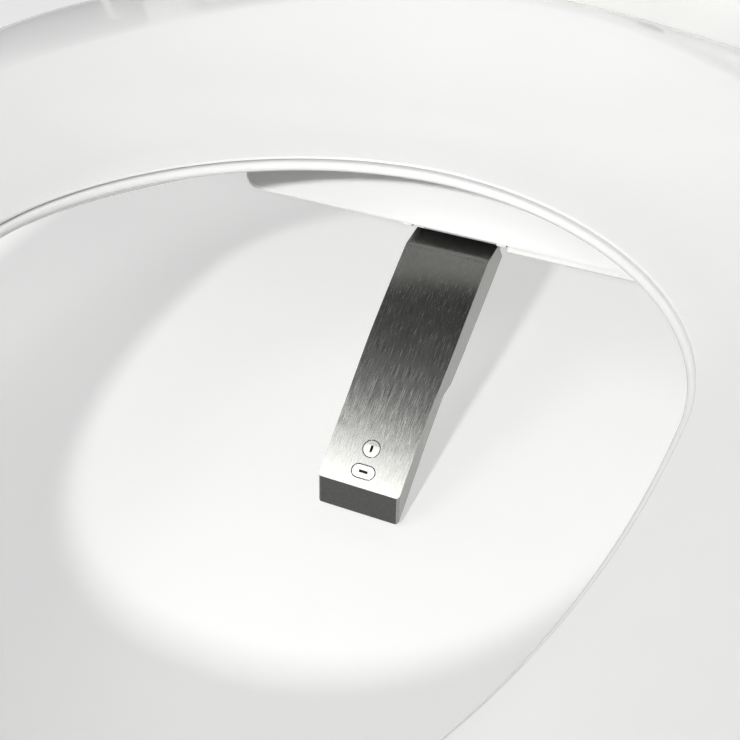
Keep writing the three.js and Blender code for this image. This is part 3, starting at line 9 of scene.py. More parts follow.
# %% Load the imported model
import bpy
import json
import math
from mathutils import Matrix, Vector

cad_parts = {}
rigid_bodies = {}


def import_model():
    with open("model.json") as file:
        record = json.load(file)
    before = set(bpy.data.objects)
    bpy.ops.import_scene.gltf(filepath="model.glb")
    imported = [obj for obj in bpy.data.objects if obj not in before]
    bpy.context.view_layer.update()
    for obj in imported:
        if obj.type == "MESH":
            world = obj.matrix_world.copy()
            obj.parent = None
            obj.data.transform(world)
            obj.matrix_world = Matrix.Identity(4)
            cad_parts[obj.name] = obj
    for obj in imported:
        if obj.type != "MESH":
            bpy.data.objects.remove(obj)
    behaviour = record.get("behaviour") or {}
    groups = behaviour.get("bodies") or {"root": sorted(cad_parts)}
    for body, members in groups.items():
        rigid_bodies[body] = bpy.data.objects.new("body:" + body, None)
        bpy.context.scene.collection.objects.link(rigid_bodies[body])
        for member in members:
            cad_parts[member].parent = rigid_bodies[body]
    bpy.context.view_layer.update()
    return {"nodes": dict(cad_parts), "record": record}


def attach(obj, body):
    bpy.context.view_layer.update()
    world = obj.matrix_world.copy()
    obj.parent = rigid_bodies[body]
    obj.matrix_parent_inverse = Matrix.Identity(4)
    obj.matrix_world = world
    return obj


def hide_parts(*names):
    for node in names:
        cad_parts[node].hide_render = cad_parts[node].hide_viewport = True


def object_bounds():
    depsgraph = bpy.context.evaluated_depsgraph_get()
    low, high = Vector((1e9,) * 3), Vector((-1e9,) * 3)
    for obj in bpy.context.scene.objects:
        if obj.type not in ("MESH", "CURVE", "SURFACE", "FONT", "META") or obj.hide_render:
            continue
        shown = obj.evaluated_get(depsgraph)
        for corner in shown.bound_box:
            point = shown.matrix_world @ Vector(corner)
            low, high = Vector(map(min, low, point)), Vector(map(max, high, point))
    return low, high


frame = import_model()
nodes = frame["nodes"]
mm = 0.001

# %% [markdown]
# ## Colours and nodes
# Colours are written as the sRGB hex values that a paint chart would give. Shaders work in linear
# light, so one function converts them. A second one adds a shader node with its settings and links.

# %% Colour and node helpers
def colour(code):
    parts = [int(code[i:i + 2], 16) / 255 for i in (1, 3, 5)]
    linear = [p / 12.92 if p <= 0.04045 else ((p + 0.055) / 1.055) ** 2.4 for p in parts]
    return (*linear, 1.0)


def darker(code, share):
    return (*(share * part for part in colour(code)[:3]), 1.0)


def add_node(tree, kind, inputs=None, **settings):
    node = tree.nodes.new(kind)
    for name, value in settings.items():
        setattr(node, name, value)
    for socket, value in (inputs or {}).items():
        if isinstance(value, bpy.types.NodeSocket):
            tree.links.new(value, node.inputs[socket])
        else:
            node.inputs[socket].default_value = value
    return node


def new_material(name, **constants):
    material = bpy.data.materials.new(name)
    material.use_nodes = True
    shader = material.node_tree.nodes["Principled BSDF"]
    for socket, value in constants.items():
        shader.inputs[socket.replace("_", " ")].default_value = value
    return material, material.node_tree, shader


def drive(tree, shader, tone, rough, normal):
    tree.links.new(tone, shader.inputs["Base Color"])
    tree.links.new(rough, shader.inputs["Roughness"])
    tree.links.new(normal, shader.inputs["Normal"])


print("white reads", [round(c, 3) for c in colour("#F2F2F0")])

# %% [markdown]
# ## Glossy white ABS
# The ring, the lid and the housing are injection-moulded ABS from a polished mould. It could be a
# plain white, but a moulded face always has a faint waviness and patches that are rubbed a little
# duller. Broad noise changes the roughness, and a very low bump gives the waviness.

# %% Glossy white ABS
patch_mm = 40
wave_mm = 9.0
wave_height_mm = 0.2


def glossy_abs(name, hex_code, roughness):
    material, tree, shader = new_material(name, Coat_Weight=0.25, Coat_Roughness=0.06)
    place = add_node(tree, "ShaderNodeTexCoord")
    patches = add_node(tree, "ShaderNodeTexNoise", {
        "Vector": place.outputs["Object"], "Scale": 1 / (patch_mm * mm), "Detail": 3.0})
    rough = add_node(tree, "ShaderNodeMapRange", {
        "Value": patches.outputs["Fac"], "From Min": 0.35, "From Max": 0.65,
        "To Min": roughness - 0.02, "To Max": roughness + 0.03})
    wave = add_node(tree, "ShaderNodeTexNoise", {
        "Vector": place.outputs["Object"], "Scale": 1 / (wave_mm * mm), "Detail": 1.0})
    bump = add_node(tree, "ShaderNodeBump", {
        "Height": wave.outputs["Fac"], "Strength": 0.04, "Distance": wave_height_mm * mm})
    tone = add_node(tree, "ShaderNodeMix", {
        "Factor": patches.outputs["Fac"], "A": colour(hex_code), "B": darker(hex_code, 0.97)},
        data_type="RGBA")
    drive(tree, shader, tone.outputs["Result"], rough.outputs["Result"], bump.outputs["Normal"])
    return material


seat_white = glossy_abs("glossy white ABS, polished mould", "#F4F4F3", roughness=0.13)
housing_white = glossy_abs("white ABS, satin mould", "#EFEFED", roughness=0.24)
print(seat_white.name, "/", housing_white.name)

# %% [markdown]
# ## Brushed stainless steel
# The arm's sleeve is pressed sheet, brushed along its length with a fine belt. Each scratch tips
# the surface a little, so that neighbouring streaks catch the light at different places. Noise
# that is stretched along the arm gives the streaks. It changes the tone and the roughness, and
# it leans the normal along the arm. The scratches are drawn 0.15 mm apart, coarser than a real
# belt leaves them, so that they show. Turned and plated steel use the same pattern with other
# sizes. The end face of the tip gets a much darker copy of the same steel. That dark tone is a
# painted reflection, standing in for something dark that the end face would mirror.

# %% Brushed stainless steel
slope = math.radians(36.5)
down_arm = (0.0, -math.cos(slope), -math.sin(slope))
scratch_height_mm = 0.015


def brushed_steel(name, hex_code, dark_code, roughness, pitch_mm, length_mm, lean):
    material, tree, shader = new_material(name, Metallic=1.0)
    place = add_node(tree, "ShaderNodeTexCoord")
    turned = add_node(tree, "ShaderNodeMapping", {
        "Vector": place.outputs["Object"], "Rotation": (-slope, 0.0, 0.0)})
    stretched = add_node(tree, "ShaderNodeMapping", {
        "Vector": turned.outputs["Vector"],
        "Scale": (1 / (pitch_mm * mm), 1 / (length_mm * mm), 1 / (pitch_mm * mm))})
    lines = add_node(tree, "ShaderNodeTexNoise", {
        "Vector": stretched.outputs["Vector"], "Scale": 1.0, "Detail": 2.5, "Roughness": 0.55})
    share = add_node(tree, "ShaderNodeMapRange", {
        "Value": lines.outputs["Fac"], "From Min": 0.3, "From Max": 0.7})
    tone = add_node(tree, "ShaderNodeMix", {
        "Factor": share.outputs["Result"], "A": colour(dark_code), "B": colour(hex_code)},
        data_type="RGBA")
    rough = add_node(tree, "ShaderNodeMapRange", {
        "Value": share.outputs["Result"], "To Min": roughness - 0.04, "To Max": roughness + 0.06})
    tip = add_node(tree, "ShaderNodeMapRange", {
        "Value": lines.outputs["Fac"], "To Min": -lean / 2, "To Max": lean / 2})
    aside = add_node(tree, "ShaderNodeVectorMath", {
        0: down_arm, "Scale": tip.outputs["Result"]}, operation="SCALE")
    bump = add_node(tree, "ShaderNodeBump", {
        "Height": lines.outputs["Fac"], "Strength": 0.2, "Distance": scratch_height_mm * mm})
    leaning = add_node(tree, "ShaderNodeVectorMath", {
        0: bump.outputs["Normal"], 1: aside.outputs["Vector"]}, operation="ADD")
    normal = add_node(tree, "ShaderNodeVectorMath", {
        0: leaning.outputs["Vector"]}, operation="NORMALIZE")
    drive(tree, shader, tone.outputs["Result"], rough.outputs["Result"], normal.outputs["Vector"])
    return material


arm_steel = brushed_steel("stainless steel, belt brushed", "#A6A6A3", "#8A8A87",
                          roughness=0.23, pitch_mm=0.15, length_mm=7.0, lean=0.045)
# The tip's end face gets a much darker copy of the steel: a painted dark reflection.
painted_dark_tip_steel = brushed_steel("stainless steel, painted dark tip reflection", "#5E5E5C", "#505050",
                          roughness=0.3, pitch_mm=0.4, length_mm=1.5, lean=0.03)
insert_steel = brushed_steel("stainless steel, fine turned", "#B4B4B1", "#A2A29F",
                             roughness=0.24, pitch_mm=0.2, length_mm=2.0, lean=0.03)
plain_steel = brushed_steel("plain steel, zinc plated", "#B8BABC", "#9FA1A3",
                            roughness=0.3, pitch_mm=0.6, length_mm=6.0, lean=0.04)
print(arm_steel.name, "/", painted_dark_tip_steel.name, "/", insert_steel.name, "/", plain_steel.name)

# %% [markdown]
# ## The other finishes
# Satin plastics are moulded in a spark-eroded mould, which leaves a fine even grain. Rubber has a
# finer grain and almost no gloss. Both use one noise for bump, tone and roughness, and so do the
# rolled aluminium, the board's solder mask and the near-black painted shade inside a spray slit.

# %% Satin plastics, rubber and the rest
grain_height_mm = 0.03


def grained(name, hex_code, roughness, grain_mm, **constants):
    material, tree, shader = new_material(name, **constants)
    place = add_node(tree, "ShaderNodeTexCoord")
    grain = add_node(tree, "ShaderNodeTexNoise", {
        "Vector": place.outputs["Object"], "Scale": 1 / (grain_mm * mm), "Detail": 3.0})
    rough = add_node(tree, "ShaderNodeMapRange", {
        "Value": grain.outputs["Fac"], "To Min": roughness - 0.06, "To Max": roughness + 0.06})
    bump = add_node(tree, "ShaderNodeBump", {
        "Height": grain.outputs["Fac"], "Strength": 0.3, "Distance": grain_height_mm * mm})
    tone = add_node(tree, "ShaderNodeMix", {
        "Factor": grain.outputs["Fac"], "A": colour(hex_code), "B": darker(hex_code, 0.9)},
        data_type="RGBA")
    drive(tree, shader, tone.outputs["Result"], rough.outputs["Result"], bump.outputs["Normal"])
    return material


finishes = {
    "white_gloss": housing_white,
    "white_satin": grained("off-white acetal, satin", "#E6E6E3", roughness=0.42, grain_mm=0.8),
    "grey_plastic": grained("grey polypropylene, satin", "#C9CBCC", roughness=0.45, grain_mm=0.8),
    "black_plastic": grained("black nylon, satin", "#2E3032", roughness=0.5, grain_mm=0.8),
    "rubber_pale": grained("pale thermoplastic elastomer", "#D8D8D4", roughness=0.75, grain_mm=0.5),
    "rubber_black": grained("black EPDM rubber", "#242527", roughness=0.8, grain_mm=0.5),
    "steel_brushed": arm_steel,
    "steel_plain": plain_steel,
    "aluminium": grained("aluminium, rolled", "#B6B9BC", roughness=0.38, grain_mm=0.6, Metallic=1.0),
    "pcb": grained("green solder mask on glass epoxy", "#2C6B45", roughness=0.4, grain_mm=0.6),
    "valve_blue": grained("dark blue glass-filled nylon", "#35506A", roughness=0.5, grain_mm=0.8),
}
print(len(finishes), "finishes")

# %% [markdown]
# ## Handling pieces
# Blender's operators act on what is selected, so each piece is selected alone before it is shaped.
# A finished piece gets smooth shading up to the angle of a real edge, with its normals weighted by
# the size of the faces, then its material and the body it moves with.

# %% Piece helpers
def select_alone(obj):
    if bpy.context.object and bpy.context.object.mode != "OBJECT":
        bpy.ops.object.mode_set(mode="OBJECT")
    for other in bpy.context.view_layer.objects:
        other.select_set(False)
    obj.select_set(True)
    bpy.context.view_layer.objects.active = obj


def start_editing(obj):
    select_alone(obj)
    bpy.ops.object.mode_set(mode="EDIT")
    bpy.ops.mesh.select_mode(type="VERT")
    bpy.ops.mesh.select_all(action="SELECT")


def add_object(name, data):
    obj = bpy.data.objects.new(name, data)
    bpy.context.scene.collection.objects.link(obj)
    return obj


def round_edges(piece, width_mm, segments=2, sharp_from=30, limit="ANGLE"):
    select_alone(piece)
    edge = piece.modifiers.new("edge", "BEVEL")
    edge.limit_method = limit
    edge.angle_limit = math.radians(sharp_from)
    edge.width = width_mm * mm
    edge.segments = segments
    bpy.ops.object.modifier_apply(modifier="edge")


def settle(piece, material, body, slot, *replaced, smooth=35):
    select_alone(piece)
    bpy.ops.object.transform_apply(location=True, rotation=True, scale=True)
    bpy.ops.object.shade_smooth_by_angle(angle=math.radians(smooth))
    weigh = piece.modifiers.new("weigh", "WEIGHTED_NORMAL")
    weigh.keep_sharp = True
    bpy.ops.object.modifier_apply(modifier="weigh")
    piece.data.materials.clear()
    piece.data.materials.append(material)
    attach(piece, body)
    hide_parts(*replaced)


record = frame["record"]
body_of = {node: body for body, members in record["behaviour"]["bodies"].items() for node in members}
slot_of = {part["node"]: part["material_slot"] for part in record["subparts"]}
print(len(set(body_of.values())), "bodies,", len(set(slot_of.values())), "slots")

# %% [markdown]
# ## Carried-over nodes
# A node whose shape is already right keeps its mesh, or gets a twin with softened edges where it
# can be seen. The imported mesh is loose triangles, so the twin is merged, its flat faces are joined
# up and a small bevel rounds its edges.

# %% Finish the carried-over nodes
merge_mm = 0.002
flat_within = math.radians(0.5)


def twin(node, edge_mm, material=None, smooth=35):
    piece = add_object(node + "_finished", nodes[node].data.copy())
    start_editing(piece)
    bpy.ops.mesh.remove_doubles(threshold=merge_mm * mm)
    bpy.ops.mesh.dissolve_limited(angle_limit=flat_within)
    round_edges(piece, edge_mm)
    slot = slot_of[node]
    settle(piece, material or finishes[slot], body_of[node], slot, node, smooth=smooth)
    return piece


for name, node in nodes.items():
    node.data.materials.clear()
    node.data.materials.append(finishes[slot_of[name]])

softened = {
    "seat_arm_left": 0.8, "seat_arm_right": 0.8, "top_cover": 0.8, "base_pan": 0.5,
    "front_panel": 0.35, "lid": 0.6, "dryer_flap": 0.3, "nozzle_bay_frame": 0.3,
    "button_wash": 0.6, "button_dry": 0.6, "button_stop": 0.6, "release_button": 0.6,
    "deodoriser_filter": 0.4, "water_inlet": 0.4, "mounting_plate": 0.5,
    "bolt_nut_left": 0.5, "bolt_nut_right": 0.5, "mounting_bolt_left": 0.3, "mounting_bolt_right": 0.3,
    "lid_bumper_left": 0.6, "lid_bumper_right": 0.6, "unit_foot_left": 0.4, "unit_foot_right": 0.4,
    "hinge_pin_left": 0.2, "hinge_pin_right": 0.2, "power_cord_gland": 0.4, "occupancy_sensor": 0.3,
}
for name, edge_mm in softened.items():
    twin(name, edge_mm, seat_white if name == "front_panel" else None)
print(len(softened), "twins with softened edges")

# %% [markdown]
# ## The seat ring
# The ring is two moulded shells that meet in a fine seam just inside the opening. It could be
# spun from a profile, but its outline is egg-shaped and its dish changes all the way round. So it
# is lofted: the same section is drawn at every angle, with its width and crest from formulas. Each
# plan curve is half an oval behind its widest line and half an oval in front of it, and a power
# above 2 makes an oval squarer.

# %% Plan curves of the ring
ring_centre = -224      # the ring's widest line
seam = 35               # above the deck that the seat rests on
opening = {"half": 104.3, "rear": 99.5, "front": 188, "rear_power": 1.9, "front_power": 2.28}
crest = {"half": 160, "rear": 170, "front": 222, "rear_power": 2.15, "front_power": 2.2}
outer = {"half": 184, "rear": 180, "front": 250, "rear_power": 4, "front_power": 2.2}
front_crest, side_rise, rear_hump = 10, 18, 10


def reach(curve, angle):
    c, s = abs(math.cos(angle)), abs(math.sin(angle))
    end = "rear" if math.sin(angle) >= 0 else "front"
    power = curve[end + "_power"]
    return ((c / curve["half"]) ** power + (s / curve[end]) ** power) ** (-1 / power)


def smoothstep(low, high, value):
    t = min(max((value - low) / (high - low), 0), 1)
    return t * t * (3 - 2 * t)


def crest_height(angle):
    s = math.sin(angle)
    return front_crest + side_rise * ((1 + s) / 2) ** 1.2 + rear_hump * max(0, s) ** 6


print("opening", 2 * reach(opening, 0), "mm wide")

# %% [markdown]
# The lower edge of the top shell is its skirt. At the rear it climbs to clear the sloped front
# panel, which has a steeper stretch near its lip. The gap to the bottom shell opens a little where
# the skirt climbs.

# %% Panel and skirt
lip_y, lip_z = -107.1, 5.85
knee_y, knee_slope = -93, 0.892
panel_clear = 2.5
skirt_height = 22
climb_from, climb_to = 0.74, 0.85
rest_gap, climb_gap = 0.3, 6


def panel_top(y):
    if y < knee_y:
        return lip_z + knee_slope * (y - lip_y)
    return lip_z + knee_slope * (knee_y - lip_y) + math.tan(slope) * (y - knee_y)


def rear_share(angle):
    return smoothstep(climb_from, climb_to, math.sin(angle))


def skirt(angle):
    rear = rear_share(angle)
    edge = panel_top(ring_centre + reach(outer, angle) * math.sin(angle)) + 2 * panel_clear - seam
    level = (skirt_height - seam) * (1 - rear) + edge * rear
    return level + rest_gap + climb_gap * rear * (1 - rear)


print("skirt, from the seam:", round(skirt(0.0), 2), "at the side,", round(skirt(math.pi / 2), 2), "behind")

# %% [markdown]
# The section starts at the seam, rounds the opening's edge, rises slowly in the dish to the crest
# and rolls over to the skirt. It starts 0.3 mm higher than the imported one, so that the seam shows
# as a fine dark line. Its inner side is out of sight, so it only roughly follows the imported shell,
# with about the same wall.

# %% Section of the top shell
shell_wall = 2.4
seam_top, edge_foot, edge_radius = 0.6, 0.9, 0.6
dish_inner, dish_foot, dish_margin, dish_steps = 1.5, 0.7, 5, 14
shoulder_drop, crest_pull, roll_pull, roll_drop, roll_steps = 1.5, 1.6, 0.5, 8, 14
back_depth, back_stations = 3.2, (0.95, 0.6, 0.3, 0.1)
dish_lean, dish_bend = 0.35, 0.65


def bezier(points, steps):
    start, start_pull, end_pull, end = [Vector(p) for p in points]
    curve = []
    for i in range(1, steps + 1):
        t = i / steps
        near = (1 - t) ** 3 * start + 3 * (1 - t) ** 2 * t * start_pull
        curve.append(tuple(near + 3 * (1 - t) * t * t * end_pull + t ** 3 * end))
    return curve


def dish_height(height, u):
    low = dish_inner + dish_foot
    return low + (height - shoulder_drop - low) * (dish_lean * u + dish_bend * u * u)


def top_section(angle):
    start = reach(opening, angle)
    width = reach(outer, angle) - start
    rise = reach(crest, angle) - start
    height = crest_height(angle)
    path = [(0.0, seam_top)]
    for degrees in (0, 20, 40, 60, 80):
        a = math.radians(degrees)
        path.append((edge_radius * (1 - math.cos(a)), edge_foot + edge_radius * math.sin(a)))
    end = rise - dish_margin
    for i in range(1, dish_steps + 1):
        u = i / dish_steps
        path.append((dish_inner + (end - dish_inner) * u, dish_height(height, u)))
    path += bezier([path[-1], (rise, height + crest_pull), (width, height - roll_pull),
                    (width, height - roll_drop)], roll_steps)
    path.append((width, skirt(angle)))
    back = [(width - shell_wall, skirt(angle)), (width - shell_wall, height - roll_drop)]
    for u in back_stations:
        back.append((end * u, max(seam_top, dish_height(height, u) - back_depth)))
    return path + back + [(shell_wall, seam_top)]


print(len(top_section(0.0)), "points in the section")

# %% [markdown]
# The loft turns each section's points out from the opening's curve and joins every point to its
# neighbours along the section and round the ring. A closed section gives a closed solid.

# %% Loft the top shell
ring_steps = 180


def mesh_piece(name, vertices, faces):
    mesh = bpy.data.meshes.new(name)
    mesh.from_pydata(vertices, [], faces)
    piece = add_object(name, mesh)
    start_editing(piece)
    bpy.ops.mesh.normals_make_consistent(inside=False)
    bpy.ops.object.mode_set(mode="OBJECT")
    return piece


def loft(name, section):
    vertices, faces = [], []
    for j in range(ring_steps):
        angle = 2 * math.pi * j / ring_steps
        start = reach(opening, angle)
        points = section(angle)
        for s, z in points:
            r = start + s
            y = ring_centre + r * math.sin(angle)
            vertices.append((r * math.cos(angle) * mm, y * mm, (seam + z) * mm))
    count = len(points)
    for j in range(ring_steps):
        here, there = j * count, (j + 1) % ring_steps * count
        for i in range(count):
            k = (i + 1) % count
            faces.append((here + i, here + k, there + k, there + i))
    return mesh_piece(name, vertices, faces)


seat_top = loft("seat_ring_top", top_section)
settle(seat_top, seat_white, "seat", "white_gloss", "seat_top_shell", smooth=50)
print(seat_top.name, len(seat_top.data.polygons), "faces")

# %% [markdown]
# ## The bottom shell and its rounded lip
# The lip under the seam is a small half-round bead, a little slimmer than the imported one. Behind it
# the shell falls away, gently at the rear, so that nothing of it shows under the lip, and the bead
# throws a thin shadow. Over the bay of the spray arm the underside lies higher than elsewhere. One
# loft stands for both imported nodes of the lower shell, which are parted only for their collision.

# %% Loft the bottom shell
bay_underside, flat_underside = 24, 8.3
bay_side, bay_front = (111, 131), (-135, -112)
bead_radius, bead_centre = 1.6, (-0.2, -1.75)
lip_foot, ledge = (3.5, -3.7), [(9, -2.6), (9, -0.1)]
fall_rear, fall_gain, fall_power = 0.5, 0.9, 1.5
fall_from, fall_to, fall_step = 9.5, 55, 0.25
flat_margin, edge_margin = 10, 0.2
bend_limit, bend_share = 6, 0.6


def underside(x, y):
    over_bay = max(bay_underside, panel_top(y) + panel_clear) - seam
    flat = flat_underside - seam
    side = max(smoothstep(*bay_side, abs(x)), 1 - smoothstep(*bay_front, y))
    return over_bay + (flat - over_bay) * side


def bottom_section(angle):
    start = reach(opening, angle)
    width = reach(outer, angle) - start

    def under(s):
        return underside((start + s) * math.cos(angle), ring_centre + (start + s) * math.sin(angle))

    rear = rear_share(angle)
    top = skirt(angle) - rest_gap - climb_gap * rear * (1 - rear)
    section = []
    for degrees in range(80, 271, 10):
        a = math.radians(degrees)
        out, up = bead_radius * math.cos(a), bead_radius * math.sin(a)
        section.append((bead_centre[0] + out, bead_centre[1] + up))
    fall = fall_rear + fall_gain * ((1 - math.sin(angle)) / 2) ** fall_power
    first, flat_end = fall_from, width - flat_margin
    while first < fall_to and lip_foot[1] - fall * (first - lip_foot[0]) > under(first):
        first += fall_step
    middle = (first + flat_end) / 2
    foot = under(width)
    bend = min(bend_limit, (top - foot) * bend_share)
    edge = width - edge_margin
    inner = edge - shell_wall
    section += [lip_foot, (first, under(first)), (middle, under(middle)), (flat_end, under(flat_end)),
                (width - 3, foot + bend * 0.25), (width - 1, foot + bend * 0.55), (edge, foot + bend),
                (edge, top)]
    section += [(inner, top), (inner, foot + bend + shell_wall * 0.4), (width - 6, foot + shell_wall + 0.3),
                (flat_end, under(flat_end) + shell_wall), (middle, under(middle) + shell_wall),
                (first + 1, under(first) + shell_wall)]
    return section + ledge


seat_bottom = loft("seat_ring_bottom", bottom_section)
settle(seat_bottom, seat_white, "seat", "white_gloss", "seat_bottom_shell", "seat_rear_cover", smooth=40)
print(seat_bottom.name, len(seat_bottom.data.polygons), "faces")

# %% [markdown]
# ## The spray arm
# The sleeve is one piece of pressed sheet: a shallow trough with a crowned top. It is cut out as a
# presswork pattern would be. Its side view is drawn and extruded, a second block with its plan is
# intersected with it, and the same shapes, one wall smaller, hollow it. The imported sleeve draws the
# crown with six flats, which a mirror-like finish would show, so this one draws it with many.
# Lengths run from the heel's bend, down the arm, and depths from the top face's plane.

# %% Outlines of the sleeve
arm = {"half": 15.3, "head_half": 14.7, "length": 88, "head": 40, "blend": 18, "crown": 1.3, "wall": 0.8}
heel = {"length": 9, "drop": 4.5, "depth": 13, "neck_depth": 8.8, "head_depth": 5.8}
heel_bend = Vector((-1.4, -111.4, -0.81))
arm_place = Matrix.Translation(heel_bend * mm) @ Matrix.Rotation(slope, 4, "X")
neck = arm["length"] - arm["head"]
tip_height = 10.9
tip_lean, tip_depth = tip_height * math.sin(slope), tip_height * math.cos(slope)
crown_steps, waist_steps = 36, 12


def crown_line(inset):
    points = []
    for i in range(crown_steps + 1):
        u = 2 * i / crown_steps - 1
        along = (arm["length"] - inset) * (1 - i / crown_steps)
        points.append((-along, arm["crown"] * (1 - u * u) - inset))
    return points


def sleeve_side(inset):
    back = [(heel["length"], -heel["drop"] - inset), (heel["length"], -heel["depth"])]
    foot = [(0, -heel["depth"] + 0.4), (-neck + 5, -heel["neck_depth"]), (-neck, -heel["head_depth"])]
    tip = (-arm["length"] - tip_lean + inset, -tip_depth)
    return back + foot + [tip] + crown_line(inset)


def sleeve_plan(inset):
    wide, slim = arm["half"] - inset, arm["head_half"] - inset
    back, front = -neck + arm["blend"], -neck - arm["blend"]
    side = [(wide, heel["length"] + 1)]
    for i in range(waist_steps + 1):
        t = i / waist_steps
        side.append((slim + (wide - slim) * (1 - t) ** 2 * (1 + 2 * t), back + (front - back) * t))
    side.append((slim, -arm["length"] - tip_lean - 1 + inset))
    return side + [(-x, y) for x, y in reversed(side)]


print("crown", max(z for _, z in crown_line(0)), "mm")

# %% [markdown]
# An outline is drawn across one axis and pulled along it into a block. One block cuts another as a
# punch and die would.

# %% Block and cut helpers
hole_steps = 32


def extrude(name, outline, axis, span):
    count = len(outline)
    if axis == "x":
        vertices = [(w * mm, u * mm, v * mm) for w in span for u, v in outline]
    else:
        vertices = [(u * mm, v * mm, w * mm) for w in span for u, v in outline]
    faces = [tuple(range(count)), tuple(range(count, 2 * count))]
    faces += [(i, (i + 1) % count, count + (i + 1) % count, count + i) for i in range(count)]
    return mesh_piece(name, vertices, faces)


def cut(piece, tool, operation):
    select_alone(piece)
    step = piece.modifiers.new("cut", "BOOLEAN")
    step.object = tool
    step.operation = operation
    step.solver = "EXACT"
    bpy.ops.object.modifier_apply(modifier="cut")
    bpy.data.objects.remove(tool)


def stadium(half_length, half_width, along):
    points = []
    for i in range(hole_steps):
        a = 2 * math.pi * (i + 0.5) / hole_steps
        straight = math.copysign(half_length - half_width, math.cos(a))
        points.append((straight + half_width * math.cos(a), half_width * math.sin(a) - along))
    return points


print("points in a hole's outline:", len(stadium(4, 2, 0)))

# %% [markdown]
# The trough is cut first, then the two holes for the spray inserts, through the top. A hole and a
# slit are given by their half sizes, across the arm and along it.

# %% Cut the sleeve
inserts = {
    "spray_insert_round": {"along": 74.5, "hole": (3.15, 3.15), "slit": (0.35, 1.1)},
    "spray_insert_oval": {"along": 82.6, "hole": (4.3, 2.5), "slit": (1.5, 0.35)},
}
across = (-arm["half"], arm["half"])
block_foot, block_top = -22, 4
sleeve = extrude("spray_arm_sleeve", sleeve_side(0), "x", across)
cut(sleeve, extrude("plan", sleeve_plan(0), "z", (block_foot, block_top)), "INTERSECT")
hollow = [(heel["length"] + 2, -heel["drop"] - arm["wall"] - 1), (heel["length"] + 2, block_foot),
          (-arm["length"] - tip_lean + 1, block_foot),
          (-arm["length"] - tip_lean + arm["wall"] + 0.2, -tip_depth)]
inside = extrude("inside", hollow + crown_line(arm["wall"]), "x", across)
cut(inside, extrude("inner_plan", sleeve_plan(arm["wall"]), "z", (block_foot - 2, block_top)), "INTERSECT")
cut(sleeve, inside, "DIFFERENCE")
for insert in inserts.values():
    cut(sleeve, extrude("hole", stadium(*insert["hole"], insert["along"]), "z", (-3, 3)), "DIFFERENCE")
print("sleeve after the cuts:", len(sleeve.data.polygons), "faces")

# %% [markdown]
# The two upright corners of the tip are rounded in plan, and then all outer edges get the small
# even radius that pressing leaves. The corners are found by their place: two long upright edges
# between the tip's foot and its top, at the full half width of the head.

# %% Round the sleeve's corners and edges
corner_mm, pressed_mm = 1.2, 0.55


def is_tip_corner(start, end):
    at_tip = all(abs(p.x) > arm["head_half"] - 0.1 and p.y < -arm["length"] + 0.1 for p in (start, end))
    upright = start.x * end.x > 0 and abs(start.z - end.z) > 4
    full_height = min(start.z, end.z) < -tip_depth + 0.5 and max(start.z, end.z) > -1
    return at_tip and upright and full_height and (start - end).length > 5


weights = sleeve.data.attributes.new("bevel_weight_edge", "FLOAT", "EDGE")
corners = 0
for line in sleeve.data.edges:
    if is_tip_corner(*[sleeve.data.vertices[v].co / mm for v in line.vertices]):
        weights.data[line.index].value = 1.0
        corners += 1
print("tip corners:", corners)
round_edges(sleeve, corner_mm, segments=5, limit="WEIGHT")
round_edges(sleeve, pressed_mm, segments=4, sharp_from=40)
sleeve.matrix_world = arm_place
settle(sleeve, arm_steel, "spray_arm", "steel_brushed", "nozzle_sleeve")
# Faces looking forward at the tip take the darker copy, the painted dark reflection.
sleeve.data.materials.append(painted_dark_tip_steel)
for face in sleeve.data.polygons:
    if face.normal.y < -0.9:
        face.material_index = 1
print("sleeve faces:", len(sleeve.data.polygons))

# %% [markdown]
# The inserts are turned discs with a slit for the water. They end flush with the sleeve and keep
# crisp edges, so that each shows as a thin dark line round a bright face. The faces inside the slits
# are painted near-black: painted shade, standing in for the dark bore behind them.

# %% Spray inserts
# Painted shade: a near-black for the faces inside the spray slits.
painted_slit_shade = grained("painted shade in the spray slits", "#1A1B1C", roughness=0.35, grain_mm=0.4)
in_arm = arm_place.inverted()
slit_margin, slit_depth, flat_up = 0.16, 1.3, 0.98


def in_slit(spot, insert):
    half_x, half_y = insert["slit"]
    return (abs(spot.x) < half_x + slit_margin
            and abs(spot.y + insert["along"]) < half_y + slit_margin and spot.z > -slit_depth)


for node, insert in inserts.items():
    piece = twin(node, 0.1, insert_steel, smooth=12)
    # The faces inside each slit take the painted shade.
    piece.data.materials.append(painted_slit_shade)
    for face in piece.data.polygons:
        spot = in_arm @ face.center / mm
        lift = (in_arm.to_3x3() @ face.normal).z
        if in_slit(spot, insert) and (lift < flat_up or spot.z < 0):
            face.material_index = 1
    print(node, len(piece.data.polygons), "faces")

# %% [markdown]
# ## The floor
# The object stands over a plain pale floor. The floor glows a little for the eye and in
# reflections, and throws less light up than it shows, so that the shade under the ring stays.

# %% Floor
floor_size, floor_drop = 6, 0.002
floor_glow = 0.5
low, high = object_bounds()
bpy.ops.mesh.primitive_plane_add(size=floor_size, location=(0, 0, low[2] - floor_drop))
floor = bpy.context.object
floor.name = "floor"
floor_material, tree, shader = new_material(
    "matt pale floor paint", Roughness=0.6, Base_Color=colour("#C4C4C2"))
path = add_node(tree, "ShaderNodeLightPath")
seen = add_node(tree, "ShaderNodeMath", {
    0: path.outputs["Is Camera Ray"], 1: path.outputs["Is Glossy Ray"]}, operation="MAXIMUM")
seen = add_node(tree, "ShaderNodeMath", {
    0: seen.outputs["Value"], 1: path.outputs["Is Transmission Ray"]}, operation="MAXIMUM")
glow = add_node(tree, "ShaderNodeMath", {0: seen.outputs["Value"], 1: floor_glow}, operation="MULTIPLY")
shader.inputs["Emission Color"].default_value = colour("#FFFFFF")
tree.links.new(glow.outputs["Value"], shader.inputs["Emission Strength"])
floor.data.materials.append(floor_material)
print("floor at", round(low[2] - floor_drop, 4))

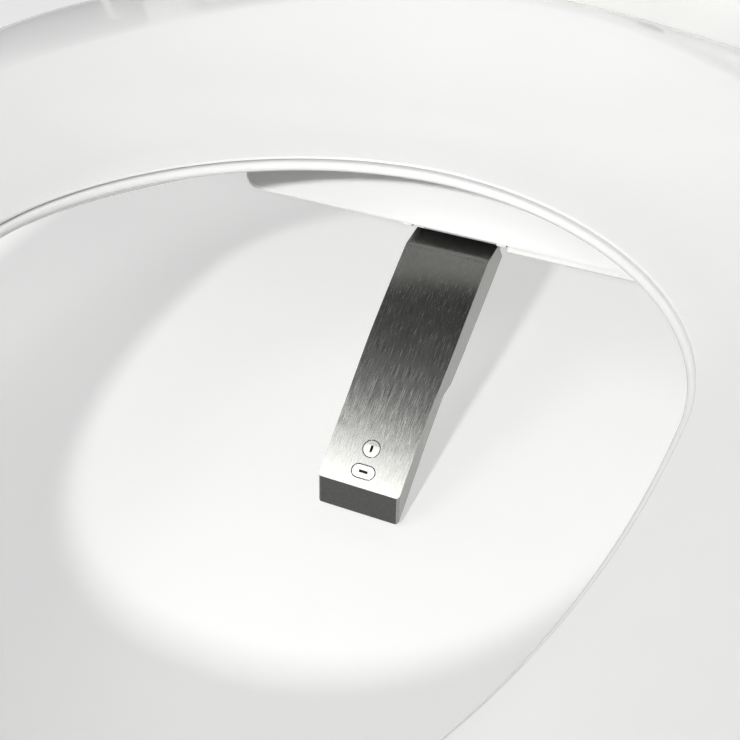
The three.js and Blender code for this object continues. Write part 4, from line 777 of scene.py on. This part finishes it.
# %% [markdown]
# ## Light
# A small lamp with a narrow beam gives the main light from the front, low enough to reach under
# the ring. Its beam fades upwards, so that the open lid keeps its tone. A softbox at the front left
# is there for the arm, whose tip mirrors it, and the sky is darker overhead, where the rest of the
# arm looks. The ring's white plastic stays just under white. Places are in metres, and power is in
# watts.

# %% Lamps and world
sky_strength = 0.38


def lamp(name, place, target, width, power, spread=180):
    light = bpy.data.lights.new(name, "AREA")
    light.size = width
    light.spread = math.radians(spread)
    light.energy = power
    obj = add_object(name, light)
    obj.location = place
    obj.rotation_euler = (Vector(target) - Vector(place)).to_track_quat("-Z", "Y").to_euler()


lamp("key", (0.17, -1.95, 1.05), (0, -0.42, -0.18), width=0.1, power=4.3, spread=60)
lamp("softbox", (-0.53, -1.16, 1.16), (0, -0.18, -0.05), width=0.56, power=5.4)
world = bpy.data.worlds.new("studio")
bpy.context.scene.world = world
world.use_nodes = True
sky = world.node_tree
direction = add_node(sky, "ShaderNodeTexCoord")
parts = add_node(sky, "ShaderNodeSeparateXYZ", {"Vector": direction.outputs["Generated"]})
height = add_node(sky, "ShaderNodeMapRange", {
    "Value": parts.outputs["Z"], "From Min": 0.74, "From Max": 0.88})
shade = add_node(sky, "ShaderNodeMix", {
    "Factor": height.outputs["Result"], "A": colour("#F2F3F4"), "B": colour("#4A4C4E")},
    data_type="RGBA")
sky.links.new(shade.outputs["Result"], sky.nodes["Background"].inputs["Color"])
sky.nodes["Background"].inputs["Strength"].default_value = sky_strength
bpy.context.scene.view_settings.view_transform = "Standard"

# %% [markdown]
# ## Camera
# The camera looks down into the opening from the front right, close enough to fill the view with
# the rear of the ring and the spray arm. It is turned round its own axis by about a degree.

# %% Camera
azimuth, down, roll = (math.radians(a) for a in (24.32, 34.21, 1.04))
camera_place = Vector((139.49, -485.8, 220.91))
lens_mm, sensor_mm = 63.96, 36
forward = Vector((-math.sin(azimuth) * math.cos(down), math.cos(azimuth) * math.cos(down), -math.sin(down)))
right = Vector((math.cos(azimuth), math.sin(azimuth), 0))
up = right.cross(forward)
camera_x = math.cos(roll) * right + math.sin(roll) * up
camera_y = -math.sin(roll) * right + math.cos(roll) * up
camera_data = bpy.data.cameras.new("camera")
camera_data.lens = lens_mm
camera_data.sensor_width = sensor_mm
camera = add_object("camera", camera_data)
turn = Matrix((camera_x, camera_y, -forward)).transposed()
camera.matrix_world = Matrix.Translation(camera_place * mm) @ turn.to_4x4()
bpy.context.scene.camera = camera
print("camera at", tuple(round(c, 4) for c in camera.location))
